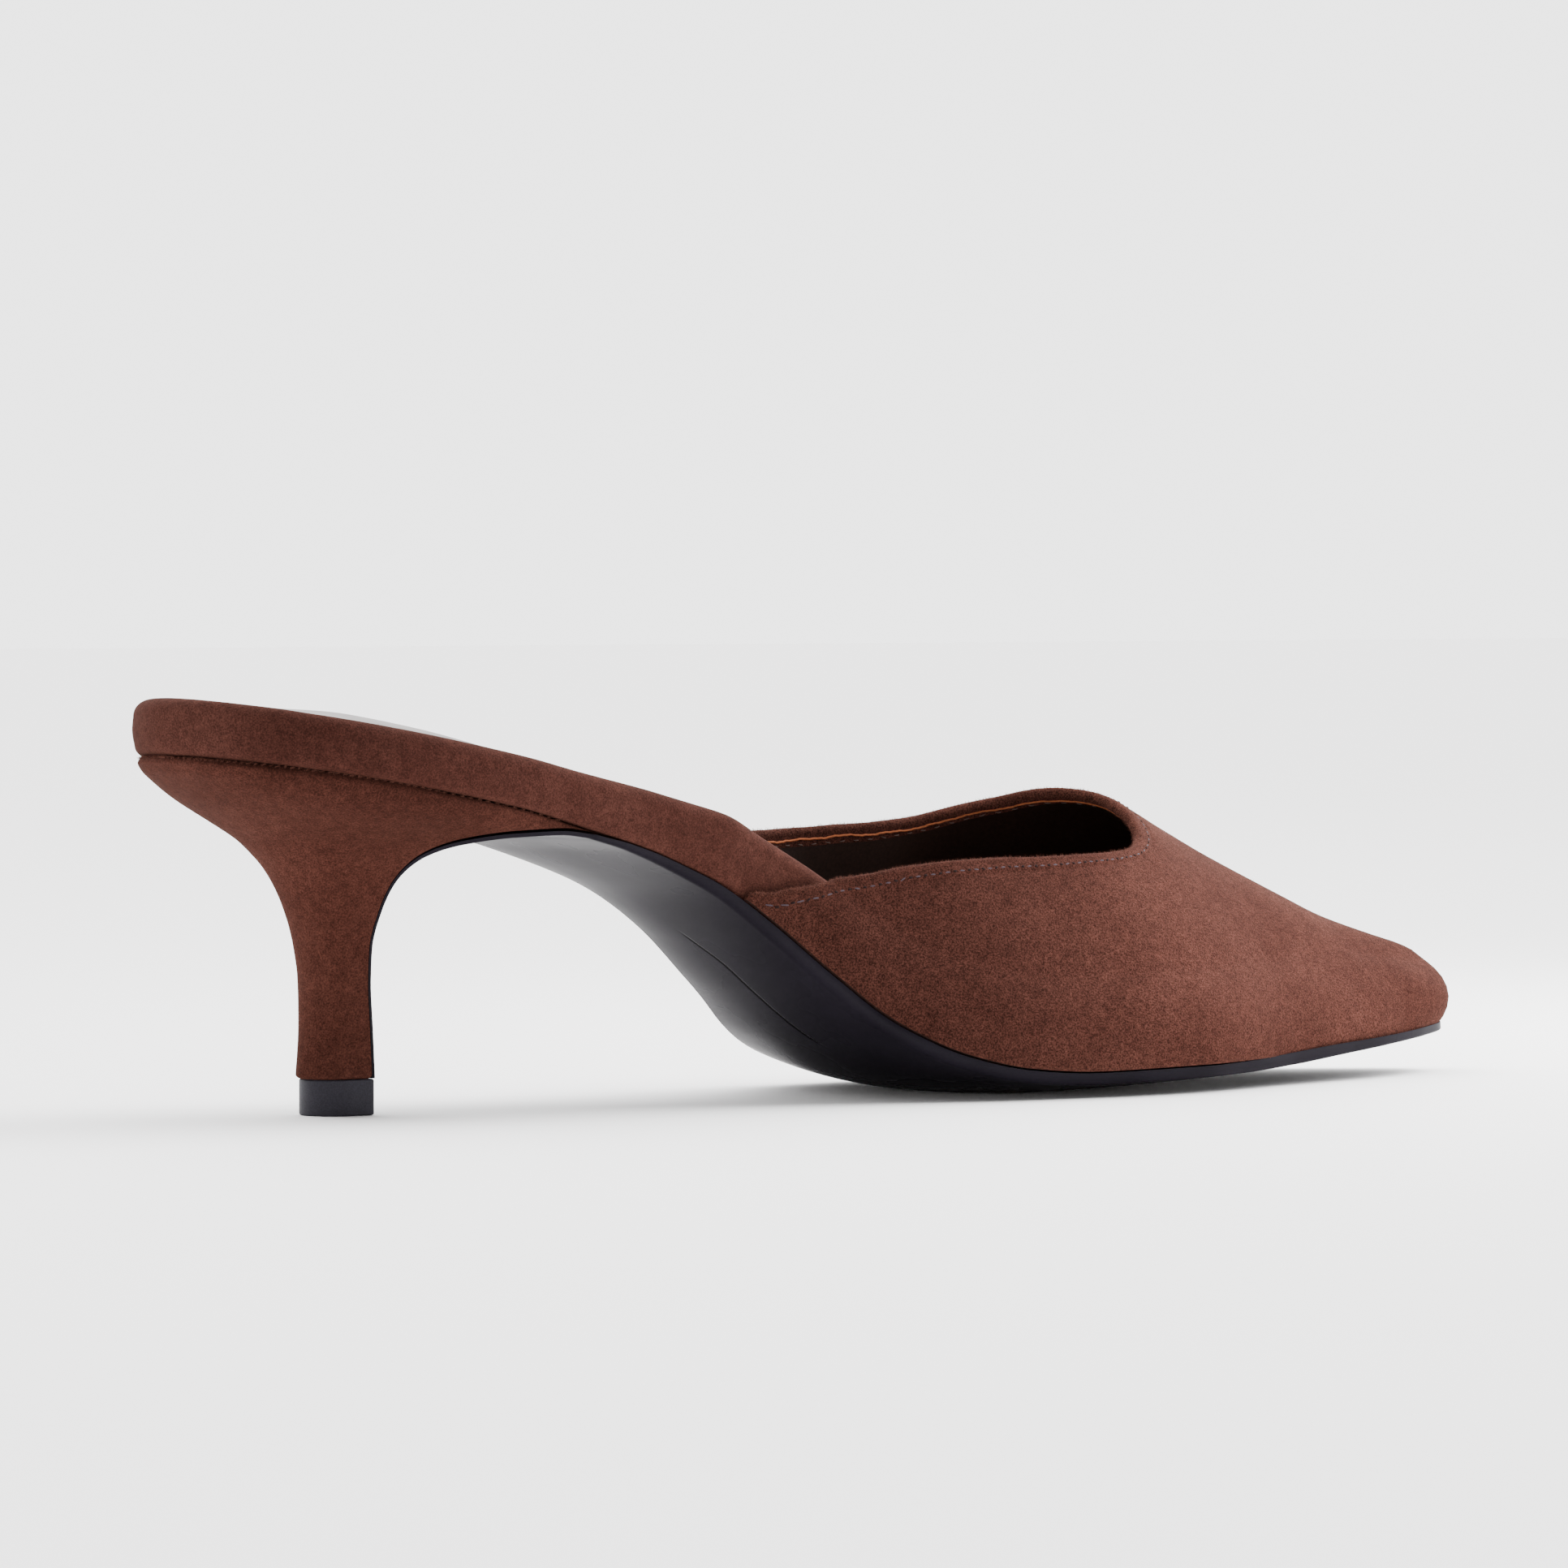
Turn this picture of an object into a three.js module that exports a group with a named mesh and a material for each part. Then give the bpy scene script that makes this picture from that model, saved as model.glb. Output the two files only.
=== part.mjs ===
// Kitten-heel mule for the right foot, in millimetres. +X points to the toe, +Y to the
// medial (inner) side and +Z up. The origin is the centre of the heel tip, on the floor.
import * as THREE from 'three';
import { mergeVertices } from 'three/addons/utils/BufferGeometryUtils.js';

// Driving sizes
const SHOE_LENGTH = 251.3; // back of the footbed to the sole's point at the toe, along the floor
const HEEL_SETBACK = 31.2; // back of the footbed to the middle of the heel tip
const SEAT_HEIGHT = 55.7; // floor to the underside of the footbed at its back
const SEAT_WIDTH = 50;
const BALL_WIDTH = 68;
const INSTEP_HEIGHT = 43; // crest of the vamp above the sole edge, at the throat
const TOE_SPRING = 3.7;
const UPPER_WALL = 1.8; // suede and lining together
const WING_WALL = 0.9; // skived wall at the rear points of the vamp
const VAMP_SWELL = 1.1; // how far the vamp swells out over the sole edge at the ball
const SWELL_HEIGHT = 15;
const TOE_SWELL = 2.4; // the same at the point of the toe
const TOE_SWELL_HEIGHT = 11;
const FOOTBED_THICKNESS = 8.5;
const FOOTBED_ROUNDING = 2.6;
const RIM_OVERHANG = -0.06; // slope of the footbed's back edge, its top further back
const FOOTBED_TOE_ROOM = 9; // toe of the shoe to the front end of the footbed
const LINING_THICKNESS = 1.2;
const LINING_MARGIN = 2.2; // crest of the footbed's rim to the edge of the sock lining
const LINING_RECESS = 1.5; // depth of the bed that the sock lining lies in
const LINING_CROWN = 0.4;
const SOLE_THICKNESS = 2;
const SOLE_CROWN = 2.5; // the sole is this much thicker along its middle
const SOLE_FLAT = 0.8; // depth cut from the crown to make the flat tread
const SOLE_MARGIN = 0.6; // edge of the last to the edge of the sole
const FLAP_THICKNESS = 0.7; // the thin end of the sole, down the front of the heel
const TIP_LENGTH = 9.4;
const TIP_WIDTH = 10;
const TIP_HEIGHT = 5.3;
const STEM_WIDTH = 10.4;
const CLEARANCE = 0.3; // between pieces that touch

// Places along the shoe, as shares of its length
const HEEL_WING_SHARE = 0.258; // front end of the heel block's wings
const LATERAL_WING_SHARE = 0.377; // rear point of the vamp, outer side
const MEDIAL_WING_SHARE = 0.325; // rear point of the vamp, inner side
const WING_LAP = 0.03; // stretch in which the footbed narrows before the vamp

// Numbers of stations in each direction
const SLAB_STATIONS = 52;
const HEEL_LEVELS = 22;
const HEEL_SIDE_STEPS = 11;
const VAMP_STATIONS = 76;
const VAMP_STEPS = 9;

// A table is read by the name of its column.
function table(columns, rows) {
  const byName = {};
  columns.forEach((name, index) => {
    byName[name] = rows.map((row) => row[index]);
  });
  return byName;
}

// Smooth curve through values at rising places, with no overshoot between them.
function smoothCurve(places, values) {
  const last = places.length - 1;
  const steps = places.slice(1).map((place, i) => place - places[i]);
  const slopes = steps.map((step, i) => (values[i + 1] - values[i]) / step);
  const tangents = places.map((_, i) => {
    if (i === 0) return slopes[0];
    if (i === last) return slopes[last - 1];
    const [before, after] = [slopes[i - 1], slopes[i]];
    if (before * after <= 0) return 0;
    const weightBefore = steps[i - 1] + 2 * steps[i];
    const weightAfter = 2 * steps[i - 1] + steps[i];
    return (weightBefore + weightAfter) / (weightBefore / after + weightAfter / before);
  });
  return (place) => {
    const at = Math.min(Math.max(place, places[0]), places[last]);
    let i = 0;
    while (i < last - 1 && at > places[i + 1]) i += 1;
    const t = (at - places[i]) / steps[i];
    const rise = values[i + 1] - values[i];
    const bend = (1 - t) * (tangents[i] * steps[i] - rise) + t * (rise - tangents[i + 1] * steps[i]);
    return values[i] + t * rise + t * (1 - t) * bend;
  };
}

const mix = (a, b, t) => a + (b - a) * t;
const clamp = (value, low, high) => Math.min(Math.max(value, low), high);
const smoothStep = (low, high, value) => {
  const t = clamp((value - low) / (high - low), 0, 1);
  return t * t * (3 - 2 * t);
};

// Stations close up at both ends, where outlines turn round: the turn runs from 0 to pi.
const turnOf = (share) => Math.acos(1 - 2 * clamp(share, 0, 1));
const shareOf = (turn) => (1 - Math.cos(turn)) / 2;
const along = (share) => share * SHOE_LENGTH - HEEL_SETBACK;
const shareAt = (x) => (x + HEEL_SETBACK) / SHOE_LENGTH;

// Outline of the last's bottom: half-widths as shares of the seat width at the heel and
// of the ball width from the middle of the shoe on.
const OUTLINE = table(
  ['share', 'lateral', 'medial'],
  [
    [0, 0, 0],
    [0.02, 0.29, 0.29],
    [0.05, 0.425, 0.425],
    [0.1, 0.495, 0.495],
    [0.15, 0.51, 0.505],
    [0.2, 0.505, 0.485],
    [0.25, 0.47, 0.44],
    [0.3, 0.41, 0.365],
    [0.35, 0.355, 0.285],
    [0.4, 0.34, 0.245],
    [0.45, 0.37, 0.265],
    [0.5, 0.44, 0.345],
    [0.55, 0.498, 0.392],
    [0.6, 0.52, 0.405],
    [0.65, 0.53, 0.44],
    [0.7, 0.51, 0.465],
    [0.75, 0.455, 0.46],
    [0.8, 0.38, 0.415],
    [0.85, 0.315, 0.345],
    [0.9, 0.255, 0.26],
    [0.95, 0.175, 0.16],
    [0.98, 0.105, 0.093],
    [1, 0, 0],
  ],
);

// Side profile of the last's bottom: rise as a share of the seat's height over the ball,
// spring as a share of the toe spring.
const PROFILE = table(
  ['share', 'rise', 'spring'],
  [
    [0, 1, 0],
    [0.1, 0.93, 0],
    [0.2, 0.84, 0],
    [0.25, 0.777, 0],
    [0.3, 0.711, 0],
    [0.33, 0.661, 0],
    [0.36, 0.598, 0],
    [0.4, 0.47, 0],
    [0.44, 0.309, 0],
    [0.48, 0.157, 0],
    [0.52, 0.065, 0],
    [0.56, 0.02, 0],
    [0.6, 0.005, 0],
    [0.65, 0, 0.1],
    [0.75, 0, 0.2],
    [0.8, 0, 0.31],
    [0.85, 0, 0.46],
    [0.9, 0, 0.63],
    [0.95, 0, 0.82],
    [1, 0, 1],
  ],
);

// Crest of the last over the sole edge as a share of the instep height, and how far it
// lies to the medial side as a share of the ball width.
const CREST = table(
  ['share', 'height', 'aside'],
  [
    [0.3, 1.4, 0.07],
    [0.5, 1.4, 0.07],
    [0.6, 1.28, 0.075],
    [0.65, 1.18, 0.085],
    [0.7, 1.07, 0.09],
    [0.74, 0.97, 0.085],
    [0.77, 0.87, 0.07],
    [0.81, 0.74, 0.05],
    [0.865, 0.575, 0.025],
    [0.905, 0.46, 0.01],
    [0.944, 0.375, 0],
    [0.97, 0.325, 0],
    [0.985, 0.285, 0],
    [0.995, 0.225, 0],
    [1, 0, 0],
  ],
);

// The lateral side of the last slopes and its medial side stands fuller.
const LATERAL_FULLNESS = 1.6;
const MEDIAL_FULLNESS = 2.3;

const outlineTurns = OUTLINE.share.map(turnOf);
const lateralShare = smoothCurve(outlineTurns, OUTLINE.lateral);
const medialShare = smoothCurve(outlineTurns, OUTLINE.medial);
const riseShare = smoothCurve(PROFILE.share, PROFILE.rise);
const springShare = smoothCurve(PROFILE.share, PROFILE.spring);
const crestTurns = CREST.share.map(turnOf);
const crestShare = smoothCurve(crestTurns, CREST.height);
const asideShare = smoothCurve(crestTurns, CREST.aside);

// side is -1 for lateral and 1 for medial
function halfWidth(share, side) {
  const reference = mix(SEAT_WIDTH, BALL_WIDTH, smoothStep(0.2, 0.5, share));
  const sideShare = side < 0 ? lateralShare : medialShare;
  return reference * sideShare(turnOf(share));
}

const BALL_LIFT = SOLE_THICKNESS + SOLE_CROWN + CLEARANCE - SOLE_FLAT;
const seatLine = (share) =>
  BALL_LIFT + (SEAT_HEIGHT - BALL_LIFT) * riseShare(share) + TOE_SPRING * springShare(share);

// Unit normal of the seat line in the side view, pointing up.
function seatNormal(share) {
  const reach = 0.004;
  const [low, high] = [clamp(share - reach, 0, 1), clamp(share + reach, 0, 1)];
  const tangent = new THREE.Vector2(along(high) - along(low), seatLine(high) - seatLine(low));
  tangent.normalize();
  return new THREE.Vector2(-tangent.y, tangent.x);
}

// Unit normal of the outline in plan, pointing out.
function outlineNormal(turn, side) {
  const reach = 0.01;
  const [low, high] = [clamp(turn - reach, 0, Math.PI), clamp(turn + reach, 0, Math.PI)];
  const dx = along(shareOf(high)) - along(shareOf(low));
  const dy = halfWidth(shareOf(high), side) - halfWidth(shareOf(low), side);
  const ends = (turn <= reach ? -1 : 0) + (turn >= Math.PI - reach ? 1 : 0);
  if (ends !== 0) return new THREE.Vector2(ends, 0);
  return new THREE.Vector2(-dy, dx * side).normalize();
}

const crestHeight = (share) => INSTEP_HEIGHT * crestShare(turnOf(share));
const crestAside = (share) => BALL_WIDTH * asideShare(turnOf(share));
const fullness = (side) => (side < 0 ? LATERAL_FULLNESS : MEDIAL_FULLNESS);

// Height of the last over the sole edge at a share of the way from crest to edge.
function shellHeight(share, across) {
  const power = fullness(across);
  const rest = Math.max(1 - Math.abs(clamp(across, -1, 1)) ** power, 0);
  return crestHeight(share) * rest ** (1 / power);
}

// Share of the way from crest to edge at which the last has a height.
function acrossAt(share, side, height) {
  const power = fullness(side);
  const part = clamp(height / crestHeight(share), 0, 1);
  return side * (1 - part ** power) ** (1 / power);
}

function acrossOf(share, y) {
  const crest = crestAside(share);
  const side = y < crest ? -1 : 1;
  const reach = halfWidth(share, side) - side * crest;
  return reach > 0.01 ? clamp((y - crest) / reach, -1, 1) : side;
}

function sideways(share, across) {
  const side = across < 0 ? -1 : 1;
  const crest = crestAside(share);
  return crest + across * (halfWidth(share, side) - side * crest);
}

// A closed body through loops of points. A loop that is drawn shut needs no cap, and any
// other end gets a ladder of faces between the loop's two halves.
function loft(loops, capFirst, capLast) {
  const size = loops[0].length;
  const faces = [];
  for (let i = 0; i + 1 < loops.length; i += 1) {
    for (let j = 0; j < size; j += 1) {
      const [a, b] = [i * size + j, i * size + ((j + 1) % size)];
      faces.push([a, b, b + size], [a, b + size, a + size]);
    }
  }
  const cap = (start, flip) => {
    for (let j = 0; j + 1 < size / 2; j += 1) {
      const [a, b] = [start + j, start + j + 1];
      const [c, d] = [start + size - 2 - j, start + size - 1 - j];
      faces.push(...(flip ? [[a, c, b], [a, d, c]] : [[a, b, c], [a, c, d]]));
    }
  };
  if (capFirst) cap(0, true);
  if (capLast) cap((loops.length - 1) * size, false);
  return solid(loops.flat(), faces);
}

// Welds the points, drops faces that have no area and turns the faces outwards.
function solid(points, faces) {
  const grain = 1e4;
  const rounded = points.flatMap((p) => p.toArray().map((value) => Math.round(value * grain) / grain));
  let geometry = new THREE.BufferGeometry();
  geometry.setAttribute('position', new THREE.Float32BufferAttribute(rounded, 3));
  geometry.setIndex(faces.flat());
  geometry = mergeVertices(geometry, 1e-3);
  const index = geometry.getIndex().array;
  const corner = (i) => new THREE.Vector3().fromBufferAttribute(geometry.attributes.position, i);
  const kept = [];
  let volume = 0;
  for (let i = 0; i < index.length; i += 3) {
    const [a, b, c] = index.slice(i, i + 3);
    if (a === b || b === c || c === a) continue;
    kept.push([a, b, c]);
    volume += corner(a).dot(corner(b).cross(corner(c)));
  }
  geometry.setIndex((volume > 0 ? kept : kept.map(([a, b, c]) => [a, c, b])).flat());
  geometry.computeVertexNormals();
  return geometry;
}

// Thickness of the upper's wall, thin at the rear points of the vamp.
function wallAt(share, side) {
  const wing = side < 0 ? LATERAL_WING_SHARE : MEDIAL_WING_SHARE;
  return mix(WING_WALL, UPPER_WALL, smoothStep(wing, wing + 0.08, share));
}

// Half-width left for the footbed at a station and a point over it in the side view: the
// whole outline behind the vamp, and the inside of its wall within it.
function roomBeside(share, x, z, side) {
  const open = halfWidth(share, side);
  const place = clamp(shareAt(x), 0, 1);
  const height = Math.max(z - seatLine(place), 0);
  const shell = side * sideways(place, acrossAt(place, side, height));
  const inside = shell - wallAt(place, side) - CLEARANCE;
  const wing = side < 0 ? LATERAL_WING_SHARE : MEDIAL_WING_SHARE;
  return mix(open, Math.min(inside, open), smoothStep(wing - WING_LAP, wing, share));
}

// Footbed thickness as a share of its named thickness: thin at the waist, padded before
// the ball and thin again at the toe.
const PADDING = table(
  ['share', 'thickness'],
  [
    [0, 1.02],
    [0.1, 0.97],
    [0.2, 0.94],
    [0.3, 1.06],
    [0.36, 1.27],
    [0.42, 1.47],
    [0.46, 1.6],
    [0.5, 1.48],
    [0.55, 1.1],
    [0.6, 0.88],
    [0.7, 0.72],
    [0.8, 0.62],
    [1, 0.5],
  ],
);
const paddingShare = smoothCurve(PADDING.share, PADDING.thickness);
const footbedHeight = (share) => FOOTBED_THICKNESS * paddingShare(share);

const FOOTBED_END = 1 - FOOTBED_TOE_ROOM / SHOE_LENGTH;
const FOOTBED_END_ROUNDING = 0.045;

// Narrows the front end of a slab to a round end.
function endFactor(share) {
  const t = clamp((share - FOOTBED_END) / FOOTBED_END_ROUNDING + 1, 0, 1);
  return Math.sqrt(1 - t * t);
}

// Direction in which a slab gets its thickness: upright at the back of the heel and
// square to the seat line from the front of the heel on.
function slabLean(share) {
  const square = seatNormal(share);
  const upright = new THREE.Vector2(RIM_OVERHANG, 1);
  return upright.lerp(square, smoothStep(0, 0.25, share)).normalize();
}

// A point of a slab that lies on the seat line: `inset` from its edge, `height` above.
function slabPoint(share, side, inset, height) {
  const lean = slabLean(share);
  const x = along(share) + lean.x * height;
  const z = seatLine(share) + lean.y * height;
  const out = outlineNormal(turnOf(share), side);
  const front = smoothStep(FOOTBED_END - FOOTBED_END_ROUNDING, FOOTBED_END, share);
  const half = Math.max(roomBeside(share, x, z, side) - Math.abs(out.y) * inset, 0);
  const y = side * half * endFactor(share);
  return new THREE.Vector3(x - mix(out.x, 1, front) * inset, y, z);
}

// Raises the middle of a slab's top.
function crowned(point, share) {
  const half = halfWidth(share, point.y < 0 ? -1 : 1) + 1;
  const lift = LINING_CROWN * Math.max(1 - (point.y / half) ** 2, 0);
  const lean = slabLean(share);
  return new THREE.Vector3(point.x + lean.x * lift, point.y, point.z + lean.y * lift);
}

// One closed loop of a slab's cross-section. Each rim row is [inset, height].
function slabLoop(share, rim, crownsBelow) {
  const lateral = rim.map(([inset, height]) => slabPoint(share, -1, inset, height));
  const medial = rim.map(([inset, height]) => slabPoint(share, 1, inset, height));
  const last = rim.length - 1;
  const between = (a, b, t) => crowned(new THREE.Vector3().lerpVectors(a, b, t), share);
  const top = [0, 0.25, 0.5, 0.75, 1].map((t) => between(lateral[last], medial[last], t));
  const under = crownsBelow
    ? [1, 0.75, 0.5, 0.25, 0].map((t) => between(lateral[0], medial[0], t))
    : [medial[0], lateral[0]];
  return [...lateral.slice(1, last), ...top, ...medial.slice(1, last).reverse(), ...under];
}

function slab(firstShare, lastShare, rimAt, crownsBelow) {
  const loops = [];
  for (let i = 0; i <= SLAB_STATIONS; i += 1) {
    const part = shareOf((Math.PI * i) / SLAB_STATIONS);
    const share = mix(firstShare, lastShare, part);
    loops.push(slabLoop(share, rimAt(share), crownsBelow));
  }
  return loft(loops, false, false);
}

function footbedGeometry() {
  const rimAt = (share) => {
    const top = footbedHeight(share);
    const round = FOOTBED_ROUNDING;
    return [
      [round * 0.4, 0],
      [round * 0.1, round * 0.12],
      [0, round * 0.45],
      [0, top - round],
      [round * 0.13, top - round * 0.5],
      [round * 0.5, top - round * 0.13],
      [round, top],
      [round + LINING_MARGIN * 0.5, top - LINING_RECESS * 0.3],
      [round + LINING_MARGIN, top - LINING_RECESS],
    ];
  };
  return slab(0, FOOTBED_END, rimAt, false);
}

function sockLiningGeometry() {
  const rimAt = (share) => {
    const under = footbedHeight(share) - LINING_RECESS + CLEARANCE;
    const edge = FOOTBED_ROUNDING + LINING_MARGIN + CLEARANCE;
    return [
      [edge, under],
      [edge, under + LINING_THICKNESS * 0.6],
      [edge + LINING_THICKNESS * 0.5, under + LINING_THICKNESS],
    ];
  };
  return slab(0, FOOTBED_END, rimAt, true);
}

// Heel block in the side view, level by level. Back and front run from the tip to the
// back of the seat and to the wings' front end, in shares of those two ways. The half
// column is the share of the way from the stem's half-width to the seat's.
const HEEL = table(
  ['level', 'backX', 'backZ', 'frontX', 'frontZ', 'half'],
  [
    [0, 0, 0, 0, 0, 0],
    [0.1, -0.03, 0.155, -0.017, 0.204, 0.01],
    [0.2, -0.038, 0.298, -0.04, 0.392, 0.035],
    [0.3, -0.01, 0.42, -0.046, 0.54, 0.07],
    [0.4, 0.066, 0.543, -0.017, 0.688, 0.136],
    [0.5, 0.178, 0.645, 0.035, 0.82, 0.242],
    [0.6, 0.322, 0.722, 0.125, 0.915, 0.394],
    [0.7, 0.475, 0.792, 0.275, 0.98, 0.596],
    [0.8, 0.642, 0.869, 0.5, 1.01, 0.788],
    [0.9, 0.807, 0.943, 0.775, 1.018, 0.93],
    [1, 1, 1, 1, 1, 1],
  ],
);
const HEEL_LIP_INSET = 0.8; // edge of the footbed to the edge of the heel block's top
const STEM_BACK = -5.6; // back of the stem at the tip
const STEM_FRONT = 4.1; // front of the stem at the tip, under the sole's flap
const HEEL_ROUND_SHARE = 0.55; // share of the stem's depth that is rounded
const SEAT_BLEND_LEVEL = 0.6; // level at which the sections start to take the seat's outline

const heelCurve = {};
for (const name of ['backX', 'backZ', 'frontX', 'frontZ', 'half']) {
  heelCurve[name] = smoothCurve(HEEL.level, HEEL[name]);
}

function heelBack(level) {
  const bottom = TIP_HEIGHT + CLEARANCE;
  const top = seatLine(0) - CLEARANCE;
  return new THREE.Vector2(
    mix(STEM_BACK, along(0) + HEEL_LIP_INSET, heelCurve.backX(level)),
    mix(bottom, top, heelCurve.backZ(level)),
  );
}

function heelFront(level) {
  const bottom = TIP_HEIGHT + CLEARANCE;
  const top = seatLine(HEEL_WING_SHARE) - CLEARANCE;
  return new THREE.Vector2(
    mix(STEM_FRONT, along(HEEL_WING_SHARE), heelCurve.frontX(level)),
    mix(bottom, top, heelCurve.frontZ(level)),
  );
}

// Half-width of the heel block at a level, a share of the way from back to front.
function heelHalf(level, part, x, side) {
  const round = Math.min(part / HEEL_ROUND_SHARE, 1);
  const block = mix(STEM_WIDTH / 2, SEAT_WIDTH / 2, heelCurve.half(level));
  const seat = halfWidth(shareAt(x), side) - HEEL_LIP_INSET;
  const blend = smoothStep(SEAT_BLEND_LEVEL, 1, level);
  return Math.max(mix(block * Math.sqrt(round * (2 - round)), seat, blend), 0);
}

function heelPoint(level, part, side) {
  const [back, front] = [heelBack(level), heelFront(level)];
  const x = mix(back.x, front.x, part);
  const chord = mix(back.y, front.y, part);
  const topChord = mix(heelBack(1).y, heelFront(1).y, part);
  const topX = mix(heelBack(1).x, heelFront(1).x, part);
  const bow = seatLine(shareAt(topX)) - CLEARANCE - topChord;
  const z = chord + bow * smoothStep(0.3, 1, level);
  return new THREE.Vector3(x, side * heelHalf(level, part, x, side), z);
}

function heelBlockGeometry() {
  const loops = [];
  for (let i = 0; i <= HEEL_LEVELS; i += 1) {
    const level = i / HEEL_LEVELS;
    const parts = [];
    for (let k = 0; k <= HEEL_SIDE_STEPS; k += 1) {
      parts.push(1 - Math.cos((Math.PI * k) / HEEL_SIDE_STEPS / 2));
    }
    const lateral = parts.map((part) => heelPoint(level, part, -1)).reverse();
    const medial = parts.map((part) => heelPoint(level, part, 1));
    loops.push([...lateral, ...medial]);
  }
  return loft(loops, true, true);
}

// Rubber top piece, with a round back and a straight front.
function topPieceGeometry() {
  const half = TIP_WIDTH / 2;
  const outline = new THREE.Shape();
  outline.moveTo(TIP_LENGTH / 2, -half);
  outline.lineTo(TIP_LENGTH / 2, half);
  outline.lineTo(half - TIP_LENGTH / 2, half);
  outline.absarc(half - TIP_LENGTH / 2, 0, half, Math.PI / 2, Math.PI * 1.5, false);
  const geometry = new THREE.ExtrudeGeometry(outline, {
    depth: TIP_HEIGHT,
    bevelEnabled: false,
    curveSegments: 12,
  });
  geometry.deleteAttribute('normal');
  geometry.deleteAttribute('uv');
  const merged = mergeVertices(geometry, 1e-3);
  merged.computeVertexNormals();
  return merged;
}

// Outsole: one strip of leather down the front of the heel, along the waist and round to
// the toe. The first stations follow the heel block's front, the others the seat line.
const FLAP_STATIONS = 18;
const SOLE_STATIONS = 44;
const SOLE_EDGE_BEVEL = 1;

// Thickness and crown of the sole as shares of their named sizes.
const SOLE_BODY = table(
  ['share', 'thickness', 'crown'],
  [
    [0, 0, 0],
    [0.25, 0.1, 0],
    [0.32, 0.6, 0.4],
    [0.42, 1, 0.7],
    [0.52, 1, 1],
    [0.65, 1, 1],
    [0.72, 0.95, 0.8],
    [0.8, 0.75, 0.3],
    [0.87, 0.3, 0.05],
    [0.93, 0.05, 0],
    [1, 0, 0],
  ],
);
const soleThicknessShare = smoothCurve(SOLE_BODY.share, SOLE_BODY.thickness);
const soleCrownShare = smoothCurve(SOLE_BODY.share, SOLE_BODY.crown);

function soleStations() {
  const stations = [];
  for (let i = 0; i < FLAP_STATIONS; i += 1) {
    const level = i / FLAP_STATIONS;
    const front = heelFront(level);
    const half = (side) => heelHalf(level, 1, front.x, side) - SOLE_MARGIN / 2;
    stations.push({ x: front.x, z: front.y, lateral: half(-1), medial: half(1), share: 0 });
  }
  const firstTurn = turnOf(HEEL_WING_SHARE);
  for (let i = 0; i <= SOLE_STATIONS; i += 1) {
    const share = shareOf(mix(firstTurn, Math.PI, i / SOLE_STATIONS));
    const half = (side) => {
      const width = halfWidth(share, side);
      return Math.max(width - Math.min(SOLE_MARGIN, width / 4), 0);
    };
    stations.push({
      x: along(share) - SOLE_MARGIN * smoothStep(0.9, 1, share),
      z: seatLine(share) - CLEARANCE,
      lateral: half(-1),
      medial: half(1),
      share,
    });
  }
  return stations;
}

function outsoleGeometry() {
  const stations = soleStations();
  const loops = stations.map((at, i) => {
    const before = stations[Math.max(i - 1, 0)];
    const after = stations[Math.min(i + 1, stations.length - 1)];
    const away = new THREE.Vector2(after.z - before.z, before.x - after.x).normalize();
    const body = soleThicknessShare(at.share);
    const thick = mix(FLAP_THICKNESS, SOLE_THICKNESS, body);
    const crown = SOLE_CROWN * soleCrownShare(at.share);
    const top = CLEARANCE * (1 - smoothStep(HEEL_WING_SHARE, HEEL_WING_SHARE + 0.03, at.share));
    const width = Math.min(at.lateral, at.medial);
    const bevel = Math.min(SOLE_EDGE_BEVEL * mix(0.4, 1, body), width * 0.4);
    const point = (y, depth) => {
      const z = at.z + away.y * (top + depth);
      return new THREE.Vector3(at.x + away.x * (top + depth), y, Math.max(z, 0));
    };
    const under = (part) => {
      const reach = part < 0 ? at.lateral - bevel : at.medial - bevel;
      const edgeDrop = width > 0.01 ? 1 - part * part : 0;
      return point(part * reach, thick + crown * edgeDrop * clamp(width / 8, 0, 1));
    };
    return [
      point(-at.lateral, 0),
      point(0, 0),
      point(at.medial, 0),
      point(at.medial, thick * 0.45),
      ...[1, 0.78, 0.42, 0, -0.42, -0.78, -1].map(under),
      point(-at.lateral, thick * 0.45),
    ];
  });
  return loft(loops, true, false);
}

// Vamp: where its topline and its lower edge lie at rows of one way round, from the outer
// rear point to the inner one. Topline places are a share along the shoe and a share
// across from the crest. The foot column is the place of the lower edge along the shoe.
const VAMP = table(
  ['way', 'topShare', 'topAcross', 'foot'],
  [
    [0, LATERAL_WING_SHARE, -1, LATERAL_WING_SHARE],
    [0.04, 0.395, -0.992, 0.395],
    [0.08, 0.411, -0.976, 0.412],
    [0.12, 0.429, -0.95, 0.432],
    [0.16, 0.453, -0.903, 0.46],
    [0.21, 0.5, -0.805, 0.517],
    [0.27, 0.56, -0.717, 0.59],
    [0.34, 0.63, -0.648, 0.69],
    [0.4, 0.69, -0.558, 0.8],
    [0.44, 0.716, -0.44, 0.885],
    [0.47, 0.729, -0.25, 0.95],
    [0.5, 0.732, -0.07, 1],
    [0.53, 0.7265, 0.08, 0.95],
    [0.56, 0.716, 0.265, 0.885],
    [0.6, 0.69, 0.53, 0.8],
    [0.66, 0.63, 0.736, 0.69],
    [0.73, 0.565, 0.816, 0.59],
    [0.8, 0.5, 0.888, 0.515],
    [0.87, 0.43, 0.957, 0.435],
    [0.93, 0.37, 0.992, 0.373],
    [1, MEDIAL_WING_SHARE, 1, MEDIAL_WING_SHARE],
  ],
);
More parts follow.
